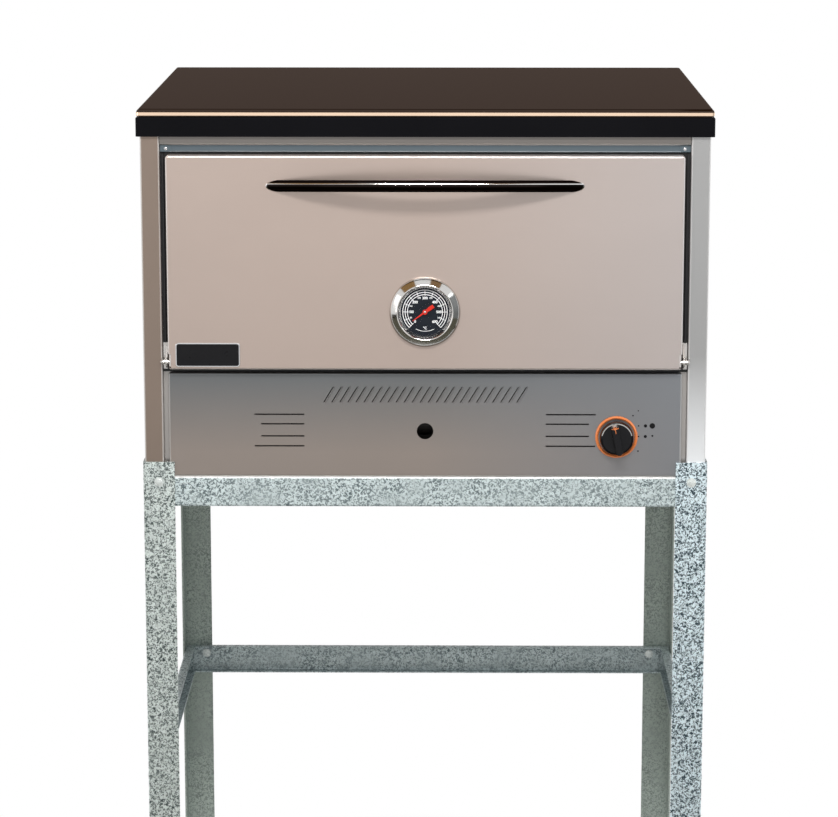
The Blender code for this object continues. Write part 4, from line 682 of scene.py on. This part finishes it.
# %% [markdown]
# ## The thermometer's scale
# The dial is printed: three thin white rings over three quarters of a turn, strokes across them, and plain
# numbers from 0 to 600. The rings and strokes are very flat meshes that lie on the dial. Angles are
# counted clockwise from the top, so zero is at the lower left.

# %% Rings
dial_low, dial_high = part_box("thermometer_dial")
dial_centre = (dial_low + dial_high) / 2
DIAL_FACE_Y = dial_low.y
PRINT_THICKNESS = 0.08 * MM
SCALE_START = math.radians(-135)
SCALE_SWEEP = math.radians(270)


def on_dial(angle, radius, lift=0.0):
    """A point of the dial's face, or a lift in front of it."""
    return (dial_centre.x + radius * math.sin(angle), DIAL_FACE_Y - lift,
            dial_centre.z + radius * math.cos(angle))


def join_rows(shape, rows):
    """Faces from each row of points to the next one, all round."""
    for first, second in zip(rows, rows[1:]):
        for corner in range(len(first)):
            after = (corner + 1) % len(first)
            shape.faces.new((first[corner], first[after], second[after], second[corner]))


def arc_band(shape, inner, outer, start, sweep, steps):
    """A flat closed band of print along an arc of the dial."""
    rows = []
    section = ((inner, 0.0), (outer, 0.0), (outer, PRINT_THICKNESS), (inner, PRINT_THICKNESS))
    for step in range(steps + 1):
        angle = start + sweep * step / steps
        rows.append([shape.verts.new(on_dial(angle, radius, lift)) for radius, lift in section])
    join_rows(shape, rows)
    shape.faces.new(rows[0])
    shape.faces.new(list(reversed(rows[-1])))


RING_RADII = (26.4, 23.6, 20.8)
RING_HALF = 0.35
scale_rings = bmesh.new()
for radius in RING_RADII:
    arc_band(scale_rings, (radius - RING_HALF) * MM, (radius + RING_HALF) * MM, SCALE_START, SCALE_SWEEP, 72)
arc_band(scale_rings, 22.9 * MM, 23.4 * MM, math.radians(152), math.radians(56), 16)
dial_rings = mesh_object("dial_rings", scale_rings, dial_white)
on_body(dial_rings, "door")
print("dial rings", len(dial_rings.data.polygons), "faces")

# %% [markdown]
# ## Strokes
# Thirteen strokes cross the rings, long ones at the large numbers. They are one bar, repeated at a list of
# points with its own length and angle at each.

# %% Strokes
stroke_tree = Repeat("dial_stroke", {"Width": 0.55 * MM, "Thickness": PRINT_THICKNESS})
size = stroke_tree.node("ShaderNodeCombineXYZ", {},
                        {"X": stroke_tree.given("Width"), "Y": stroke_tree.given("Thickness"), "Z": 1.0})
stroke = stroke_tree.node("GeometryNodeMeshCube", {}, {"Size": size})
length = stroke_tree.node("ShaderNodeCombineXYZ", {},
                          {"X": 1.0, "Y": 1.0, "Z": stroke_tree.attribute("length", "FLOAT")})
spin = stroke_tree.node("ShaderNodeCombineXYZ", {}, {"Y": stroke_tree.attribute("angle", "FLOAT")})
turn = stroke_tree.node("FunctionNodeEulerToRotation", {}, {0: spin})
stroke_tree.close(stroke_tree.scatter(stroke, turn, length), dial_white)
points = []
lengths = []
angles = []
STROKES = 12
LONG_STROKE_END = 19.4
outer = RING_RADII[0]
for place in range(STROKES + 1):
    angle = SCALE_START + SCALE_SWEEP * place / STROKES
    inner = LONG_STROKE_END if place % 2 == 0 else RING_RADII[-1]
    points.append(on_dial(angle, (outer + inner) / 2 * MM, PRINT_THICKNESS / 2))
    lengths.append((outer - inner) * MM)
    angles.append(angle)
dial_strokes = stroke_tree.grow("dial_strokes", points, {"length": lengths, "angle": angles})
on_body(dial_strokes, "door")
print(len(points), "strokes on the dial")

# %% [markdown]
# ## The numbers
# The numbers run from 0 to 600. Every second one is large, and those between are small and further out.
# Blender's own font writes each of them as a curve, which becomes a thin closed solid on the dial.

# %% Numbers
LETTER_WEIGHT = 0.022
STEP_VALUE = 50


def write_text(shape, words, size, centre, thickness):
    """Adds words to a shape as closed solids, centred on a point and facing the cook."""
    curve = bpy.data.curves.new("writing", "FONT")
    curve.body = words
    curve.size = size
    curve.align_x = "CENTER"
    curve.align_y = "CENTER"
    curve.extrude = thickness / 2
    curve.offset = size * LETTER_WEIGHT
    curve.resolution_u = 3
    writing = bpy.data.objects.new("writing", curve)
    bpy.context.scene.collection.objects.link(writing)
    graph = bpy.context.evaluated_depsgraph_get()
    mesh = bpy.data.meshes.new_from_object(writing.evaluated_get(graph))
    bpy.data.objects.remove(writing)
    mesh.transform(Matrix.Translation(centre) @ Matrix.Rotation(math.pi / 2, 4, "X"))
    shape.from_mesh(mesh)
    bpy.data.meshes.remove(mesh)


numbers = bmesh.new()
for index in range(STROKES + 1):
    radius, height = (18.2 * MM, 2.6 * MM) if index % 2 else (16.6 * MM, 4.3 * MM)
    spot = on_dial(SCALE_START + SCALE_SWEEP * index / STROKES, radius, PRINT_THICKNESS / 2)
    write_text(numbers, str(index * STEP_VALUE), height, Vector(spot), PRINT_THICKNESS)
spot = on_dial(math.pi, 19.5 * MM, PRINT_THICKNESS / 2)
write_text(numbers, "°C", 4.2 * MM, Vector(spot), PRINT_THICKNESS)
bmesh.ops.remove_doubles(numbers, verts=numbers.verts, dist=0.000001)
dial_numbers = mesh_object("dial_numbers", numbers, dial_white)
on_body(dial_numbers, "door")
print("dial numbers", len(dial_numbers.data.polygons), "faces")

# %% [markdown]
# ## Turned caps and flat spots
# The needle's hub ends in a bright cap, and the panel carries printed dots beside the knob that show the
# flame from small to large. A cap is a low dome: circles of points that shrink as they rise.

# %% Dome and dot shapes
def dome(shape, centre, radius, height, sides=20, rings=4):
    """A low dome that faces the cook, closed at its back."""
    loops = []
    for ring in range(rings):
        angle = math.pi / 2 * ring / rings
        loops.append([shape.verts.new((centre[0] + radius * math.cos(angle) * math.cos(turn),
                                       centre[1] - height * math.sin(angle),
                                       centre[2] + radius * math.cos(angle) * math.sin(turn)))
                      for turn in (math.tau * side / sides for side in range(sides))])
    tip = shape.verts.new((centre[0], centre[1] - height, centre[2]))
    join_rows(shape, loops)
    for side in range(sides):
        shape.faces.new((loops[-1][side], loops[-1][(side + 1) % sides], tip))
    shape.faces.new(loops[0])


needle_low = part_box("thermometer_needle")[0]
cap = bmesh.new()
dome(cap, (dial_centre.x, needle_low.y, dial_centre.z), 1.5 * MM, 0.35 * MM)
needle_cap = mesh_object("needle_cap", cap, bright_chrome)
needle_cap.data.shade_smooth()
on_body(needle_cap, "needle")

MARK_THICKNESS = 0.15 * MM
DOTS_FROM_KNOB = 7 * MM
DOTS = (
    (19.0, 32.0, 0.75), (12.6, 26.0, 0.95), (19.5, 13.5, 1.0), (27.8, 13.5, 2.0), (36.0, 13.5, 3.4),
    (19.6, 0.5, 0.9), (27.8, 0.5, 1.9), (36.2, 1.2, 1.2), (19.2, -17.5, 1.0),
)
dots = bmesh.new()
for across, up, radius in DOTS:
    dome(dots, (knob_centre.x + DOTS_FROM_KNOB + across * MM, panel_low.y, knob_centre.z + up * MM),
         radius * MM, MARK_THICKNESS, 16, 2)
panel_dots = mesh_object("panel_dots", dots, mark_ink)
on_body(panel_dots, "oven_body")
print("needle cap and", len(DOTS), "dots")

# %% [markdown]
# ## A smooth bezel
# The CAD model draws round things with flat sides, and polished metal shows each of them. So the bezel is
# turned again here from its own profile with many more sides.

# %% Turned bezel
TURNED_SIDES = 120
SMOOTH_ANGLE = math.radians(46)
CASE_FLOOR = 1.2 * MM
BEZEL_CURVE = ((42.0, 0.0), (42.0, 2.2), (41.6, 3.6), (40.7, 4.8), (38.8, 6.4), (36.4, 8.3), (34.8, 9.6),
               (33.9, 10.3), (33.0, 10.6), (32.2, 10.3), (31.6, 9.4))


def smooth_faces(mesh):
    """Smooth shading that stops at the real edges."""
    mesh.shade_smooth()
    mesh.set_sharp_from_angle(angle=SMOOTH_ANGLE)


stem_low, stem_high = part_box("thermometer_stem")
case_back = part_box("thermometer_case")[1].y
bore = (stem_high.x - stem_low.x) / 2 + 0.2 * MM
glass_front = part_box("thermometer_glass")[0].y - 0.1 * MM
seat = dial_high.x - dial_centre.x + 0.1 * MM
profile = [(bore, case_back)]
for radius, depth in BEZEL_CURVE:
    profile.append((radius * MM, case_back - depth * MM))
profile += [(seat, glass_front), (seat, case_back - CASE_FLOOR), (bore, case_back - CASE_FLOOR)]
case = bmesh.new()
rows = []
for side in range(TURNED_SIDES):
    angle = math.tau * side / TURNED_SIDES
    rows.append([case.verts.new((dial_centre.x + radius * math.cos(angle), depth,
                                 dial_centre.z + radius * math.sin(angle))) for radius, depth in profile])
join_rows(case, rows + rows[:1])
bezel = mesh_object("bezel", case, bright_chrome)
smooth_faces(bezel.data)
on_body(bezel, "door")
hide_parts("thermometer_case")
print("bezel", TURNED_SIDES, "sides")

# %% [markdown]
# ## A smooth handle
# The handle's tube is swept again along its bow in the same way, and cut flush with the door. It is smoked
# dark, with a highlight painted along its crown and at its two ends. An attribute on its points marks the
# crown, and its finish is painted bright there.

# %% Swept handle
HANDLE_CHORD = 344 * MM
HANDLE_BOW = 36 * MM
HANDLE_RADIUS = 7 * MM
HANDLE_TILT = 0.123
HANDLE_RISE = 220.5 * MM
HANDLE_SIDES = 48
HANDLE_STATIONS = 80
CROWN_HIGHLIGHT_ANGLE = math.radians(22.5)
CROWN_HIGHLIGHT_WIDTH = math.radians(7.6)
bow_radius = (HANDLE_CHORD ** 2 / 4 + HANDLE_BOW ** 2) / (2 * HANDLE_BOW)
reach = math.asin((HANDLE_CHORD / 2 + HANDLE_RADIUS * 4) / bow_radius)
end_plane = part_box("door_handle")[1].y
tube = bmesh.new()
# The crown attribute marks where the painted highlight runs along the tube.
crown_highlight_layer = tube.verts.layers.float.new("crown")
rows = []
for station in range(HANDLE_STATIONS + 1):
    angle = reach * (2 * station / HANDLE_STATIONS - 1)
    row = []
    for side in range(HANDLE_SIDES):
        turn = math.tau * side / HANDLE_SIDES
        along = bow_radius + HANDLE_RADIUS * math.cos(turn)
        out = along * math.cos(angle) - (bow_radius - HANDLE_BOW)
        up = HANDLE_RADIUS * math.sin(turn) + out * HANDLE_TILT
        point = tube.verts.new((along * math.sin(angle), door_low.y - out, door_low.z + HANDLE_RISE + up))
        point[crown_highlight_layer] = max(0.0, 1 - abs(turn - CROWN_HIGHLIGHT_ANGLE) / CROWN_HIGHLIGHT_WIDTH)
        row.append(point)
    rows.append(row)
join_rows(tube, rows)
everything = list(tube.verts) + list(tube.edges) + list(tube.faces)
bmesh.ops.bisect_plane(tube, geom=everything, plane_co=(0, end_plane, 0), plane_no=(0, 1, 0),
                       clear_outer=True)
bmesh.ops.edgeloop_fill(tube, edges=[edge for edge in tube.edges if edge.is_boundary])
handle = mesh_object("handle", tube, smoked_chrome)
smooth_faces(handle.data)
on_body(handle, "door")
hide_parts("door_handle")
print("handle", len(handle.data.polygons), "faces")

# %% [markdown]
# ## The knob's mark
# The black knob has a small orange flame-like star near its rim, printed on the grip and the face beside
# it. It turns with the knob, so it rides on the knob's body. Its rays are thin flat bars.

# %% Star on the knob
GRIP_TILT = math.radians(11)
KNOB_FACE_Y = knob_low.y


def on_knob(across, up, lift):
    """A point of the knob's grip, from the grip's own directions."""
    return (knob_centre.x + across * math.cos(GRIP_TILT) - up * math.sin(GRIP_TILT), KNOB_FACE_Y - lift,
            knob_centre.z + across * math.sin(GRIP_TILT) + up * math.cos(GRIP_TILT))


def flat_bar(shape, start, end, width, lift):
    """A flat closed bar between two points of the knob's grip."""
    along = (Vector(end) - Vector(start)).normalized()
    side = Vector((-along.y, along.x)) * width / 2
    corners = [Vector(start) + side, Vector(start) - side, Vector(end) - side, Vector(end) + side]
    low = [shape.verts.new(on_knob(corner.x, corner.y, 0.0)) for corner in corners]
    high = [shape.verts.new(on_knob(corner.x, corner.y, lift)) for corner in corners]
    shape.faces.new(low)
    shape.faces.new(high)
    join_rows(shape, [low, high])


RAY_WIDTH = 0.7 * MM
RAY_LENGTH = 4.6 * MM
star = bmesh.new()
star_middle = (0.0, 14.5 * MM)
flat_bar(star, (0, 9.4 * MM), (0, 18.4 * MM), RAY_WIDTH, MARK_THICKNESS)
for lean in (-66, -30, 30, 66):
    tip = (RAY_LENGTH * math.sin(math.radians(lean)),
           star_middle[1] + RAY_LENGTH * math.cos(math.radians(lean)) * 0.75)
    flat_bar(star, star_middle, tip, RAY_WIDTH, MARK_THICKNESS * (1 + abs(lean) / 200))
knob_star = mesh_object("knob_star", star, ring_orange)
on_body(knob_star, "knob")
print("star on the knob")

# %% [markdown]
# ## The painted highlight on the lid's edge
# A bright warm metal strip round the lid sheet's edge stands in for the highlight on it, as one warm bright
# line above the black band.
# It is a thin strip round the sheet: a closed path with round corners, and four points of a flat section
# at each place on it.

# %% Highlight strip on the lid's edge
def rounded_path(low, high, corner, steps=5):
    """Corners of a rounded rectangle between two points, with the direction away from its middle."""
    path = []
    for right, top, start in ((1, 1, 0), (-1, 1, 90), (-1, -1, 180), (1, -1, 270)):
        middle_x = high[0] - corner if right > 0 else low[0] + corner
        middle_y = high[1] - corner if top > 0 else low[1] + corner
        for step in range(steps + 1):
            angle = math.radians(start + 90 * step / steps)
            path.append((middle_x + corner * math.cos(angle), middle_y + corner * math.sin(angle),
                         math.cos(angle), math.sin(angle)))
    return path


sheet_low, sheet_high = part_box("lid_plate")
STRIP_THICKNESS = 0.35 * MM
STRIP_SUNK = -0.2 * MM
STRIP_EASE = 0.3 * MM
SHEET_CORNER = 3.2 * MM
strip_base = sheet_low.z + 1.4 * MM
strip_top = sheet_high.z - 3.6 * MM
strip = bmesh.new()
loops = []
section = ((STRIP_SUNK, strip_base), (STRIP_THICKNESS, strip_base + STRIP_EASE),
           (STRIP_THICKNESS, strip_top - STRIP_EASE), (STRIP_SUNK, strip_top))
for x, y, out_x, out_y in rounded_path(sheet_low, sheet_high, SHEET_CORNER):
    loops.append([strip.verts.new((x + out_x * reach, y + out_y * reach, z)) for reach, z in section])
join_rows(strip, loops + loops[:1])
# The strip stands in for the highlight on the lid's edge.
lid_edge_highlight = mesh_object("lid_edge_highlight", strip, edge_bright)
on_body(lid_edge_highlight, "oven_body")
print("lid edge", round((strip_top - strip_base) / MM, 1), "mm high")

# %% [markdown]
# ## The bare plate
# The door carries a small framed plate at its lower left corner. Here it stays bare: a silver rim round a
# plain black field, with rounded corners.

# %% Plate on the door
PLATE_WIDTH = 77 * MM
PLATE_HEIGHT = 29 * MM
PLATE_RIM = 1.3 * MM
PLATE_THICKNESS = 0.7 * MM
PLATE_CORNER = 3.2 * MM
plate_centre = (door_low.x + 47.5 * MM, door_low.z + 17.8 * MM)


def rounded_plate(width, height, corner, base, lift, shape):
    """A flat rounded plate that stands on the door between two depths."""
    middle_x, middle_z = plate_centre
    rim = rounded_path((middle_x - width / 2, middle_z - height / 2),
                       (middle_x + width / 2, middle_z + height / 2), corner)
    ease = (lift - base) / 2
    rows = []
    for depth, inset in ((base, 0.0), (base + ease, 0.0), (lift, ease)):
        share_x = 1 - inset * 2 / width
        share_z = 1 - inset * 2 / height
        rows.append([shape.verts.new((middle_x + (x - middle_x) * share_x, door_low.y - depth,
                                      middle_z + (z - middle_z) * share_z)) for x, z, *_ in rim])
    join_rows(shape, rows)
    shape.faces.new(rows[0])
    shape.faces.new(rows[-1])


rim_shape = bmesh.new()
rounded_plate(PLATE_WIDTH, PLATE_HEIGHT, PLATE_CORNER, 0.0, PLATE_THICKNESS, rim_shape)
plate_rim = mesh_object("plate_rim", rim_shape, plate_silver)
on_body(plate_rim, "door")
field_shape = bmesh.new()
rounded_plate(PLATE_WIDTH - 2 * PLATE_RIM, PLATE_HEIGHT - 2 * PLATE_RIM, PLATE_CORNER - PLATE_RIM / 2,
              PLATE_THICKNESS * 0.9, PLATE_THICKNESS + 0.15 * MM, field_shape)
plate_field = mesh_object("plate_field", field_shape, plate_black)
on_body(plate_field, "door")
print("plate", round(PLATE_WIDTH / MM), "by", round(PLATE_HEIGHT / MM), "mm")

# %% [markdown]
# ## The studio
# The oven stands on a white floor that turns to pure white away from it, so that the picture has no
# horizon, yet the feet keep their shadow.

# %% Floor
def ray_seen(board):
    """1 for a ray that shows the surface to the camera, directly, mirrored or through glass."""
    path = board.tree.nodes.new("ShaderNodeLightPath")
    kinds = [Wire(board, path.outputs[f"Is {kind} Ray"]) for kind in ("Camera", "Glossy", "Transmission")]
    return sum(kinds[1:], kinds[0]) > 0.5


FLOOR_SIZE = 60.0
FLOOR_DROP = 0.5 * MM
floor_shape = bmesh.new()
bmesh.ops.create_grid(floor_shape, x_segments=1, y_segments=1, size=FLOOR_SIZE / 2)
for corner in floor_shape.verts:
    corner.co.z = -FLOOR_DROP
floor = mesh_object("floor", floor_shape)
floor_paint = Finish("floor_paint", (0.86, 0.86, 0.86), {"Roughness": 0.9})
spot = floor_paint.node("ShaderNodeTexCoord", output="Object")
away = floor_paint.node("ShaderNodeVectorMath", {"operation": "LENGTH"}, {0: spot}, "Value")
fade = floor_paint.ramp(away * 0.5, [(0.22, 0.0), (0.40, 1.0)])
seen = ray_seen(floor_paint)
white = floor_paint.node("ShaderNodeEmission", {}, {"Color": (1, 1, 1, 1), "Strength": 1.0})
painted = Wire(floor_paint, floor_paint.shader.outputs[0])
shown = floor_paint.node("ShaderNodeMixShader", {}, {0: fade * seen, 1: painted, 2: white})
exit_node = floor_paint.tree.nodes["Material Output"]
floor_paint.feed(exit_node.inputs["Surface"], shown)
floor.data.materials.append(floor_paint.material)
print("floor", FLOOR_SIZE, "m wide")

# %% [markdown]
# ## The world
# The world is white where the camera or a reflection sees it, and dimmer as a light on the oven.

# %% World
WORLD_LEVEL = 0.54
world = bpy.data.worlds.new("studio")
bpy.context.scene.world = world
world.use_nodes = True
sky = Board(world.node_tree)
backdrop = sky.tree.nodes["Background"]
sky.feed(backdrop.inputs["Color"], (1, 1, 1, 1))
sky.feed(backdrop.inputs["Strength"], ray_seen(sky) * (1 - WORLD_LEVEL) + WORLD_LEVEL)
print("world at", WORLD_LEVEL)

# %% [markdown]
# ## Lamps
# Each lamp is a large rectangle, because large lamps throw soft shadows. The strong one is wide and low in
# height, so the handle's shadow is soft sideways and has a clear lower edge.

# %% Lamps
def soft_lamp(name, place, aim, width, height, power, colour):
    """A large rectangular lamp turned towards a point."""
    lamp = bpy.data.lights.new(name, "AREA")
    lamp.shape = "RECTANGLE"
    lamp.size = width
    lamp.size_y = height
    lamp.energy = power
    lamp.color = colour
    holder = bpy.data.objects.new(name, lamp)
    bpy.context.scene.collection.objects.link(holder)
    holder.location = place
    holder.rotation_euler = (Vector(aim) - Vector(place)).to_track_quat("-Z", "Y").to_euler()


BODY_MIDDLE = (0, 0, 1.0)
soft_lamp("over_front", (0.1, -2.1, 2.6), (0, -0.27, 1.1), 1.3, 0.35, 70, (1.0, 0.98, 0.96))
soft_lamp("left_fill", (-3.2, -1.6, 1.5), BODY_MIDDLE, 1.0, 2.0, 14, (1.0, 0.94, 0.88))
soft_lamp("right_fill", (3.2, -1.4, 1.7), BODY_MIDDLE, 1.0, 2.0, 20, (0.92, 0.97, 1.0))
print("three lamps")

# %% [markdown]
# ## Dark cards
# Polished metal only looks like metal when it has something dark to show. Studios hang dark cards out of
# the picture for this, and the brown one behind gives the lid its colour. The six cards are hidden from
# the camera and cast no shadow, so only reflections see them. Each one shines with its own flat tone.

# %% Dark cards for the reflections
def dark_card(name, centre, width, height, turn, shade):
    """A card that only reflections see."""
    shape = bmesh.new()
    bmesh.ops.create_grid(shape, x_segments=1, y_segments=1, size=0.5)
    place = Matrix.Translation(centre) @ Matrix.Rotation(turn[0], 4, "Z") @ Matrix.Rotation(turn[1], 4, "X")
    bmesh.ops.transform(shape, matrix=place @ Matrix.Diagonal((width, height, 1, 1)), verts=shape.verts)
    card = mesh_object(name, shape)
    glow = {"Emission Color": (*shade, 1), "Emission Strength": 1.0}
    paint = Finish(name, (0, 0, 0), gloss(1.0, 0.0) | glow)
    card.data.materials.append(paint.material)
    for hidden in ("visible_camera", "visible_diffuse", "visible_shadow", "visible_transmission"):
        setattr(card, hidden, False)


UPRIGHT = math.pi / 2
dark_card("card_left", (-2.6, -2.2, 0.2), 3.4, 0.4, (UPRIGHT, UPRIGHT), (0.05, 0.045, 0.035))
dark_card("card_right", (2.6, -1.9, 1.1), 3.0, 2.2, (UPRIGHT, UPRIGHT), (0.20, 0.21, 0.21))
dark_card("card_above_left", (-1.9, -1.6, 3.2), 2.0, 2.4, (0, 0), (0.34, 0.20, 0.08))
dark_card("card_above_right", (1.0, -1.6, 3.2), 1.1, 2.4, (0, 0), (0.28, 0.16, 0.07))
dark_card("card_below", (0.0, -1.6, 0.03), 5.2, 2.6, (0, 0), (0.12, 0.115, 0.085))
dark_card("card_behind", (0.0, 2.2, 2.4), 7.0, 2.6, (0, UPRIGHT), (0.136, 0.108, 0.094))
print("six dark cards")

# %% [markdown]
# ## The camera
# The photograph was taken from almost four metres away with a long lens, a little above the lid. These
# values come from fitting the lid's corners, the door's edges and the legs of the CAD model to the picture.

# %% Camera
CAMERA_PLACE = (0.0256, -3.957, 1.604)
CAMERA_PITCH = math.radians(11.293)
CAMERA_TURN = math.radians(0.509)
LENS = 134.89
SENSOR = 36.0
camera = bpy.data.cameras.new("camera")
camera.lens = LENS
camera.sensor_width = SENSOR
camera.clip_start = 0.05
camera.clip_end = 200.0
viewer = bpy.data.objects.new("camera", camera)
bpy.context.scene.collection.objects.link(viewer)
viewer.location = CAMERA_PLACE
viewer.rotation_euler = (math.pi / 2 - CAMERA_PITCH, 0, CAMERA_TURN)
bpy.context.scene.camera = viewer
bpy.context.scene.view_settings.view_transform = "Standard"
print("camera at", CAMERA_PLACE)
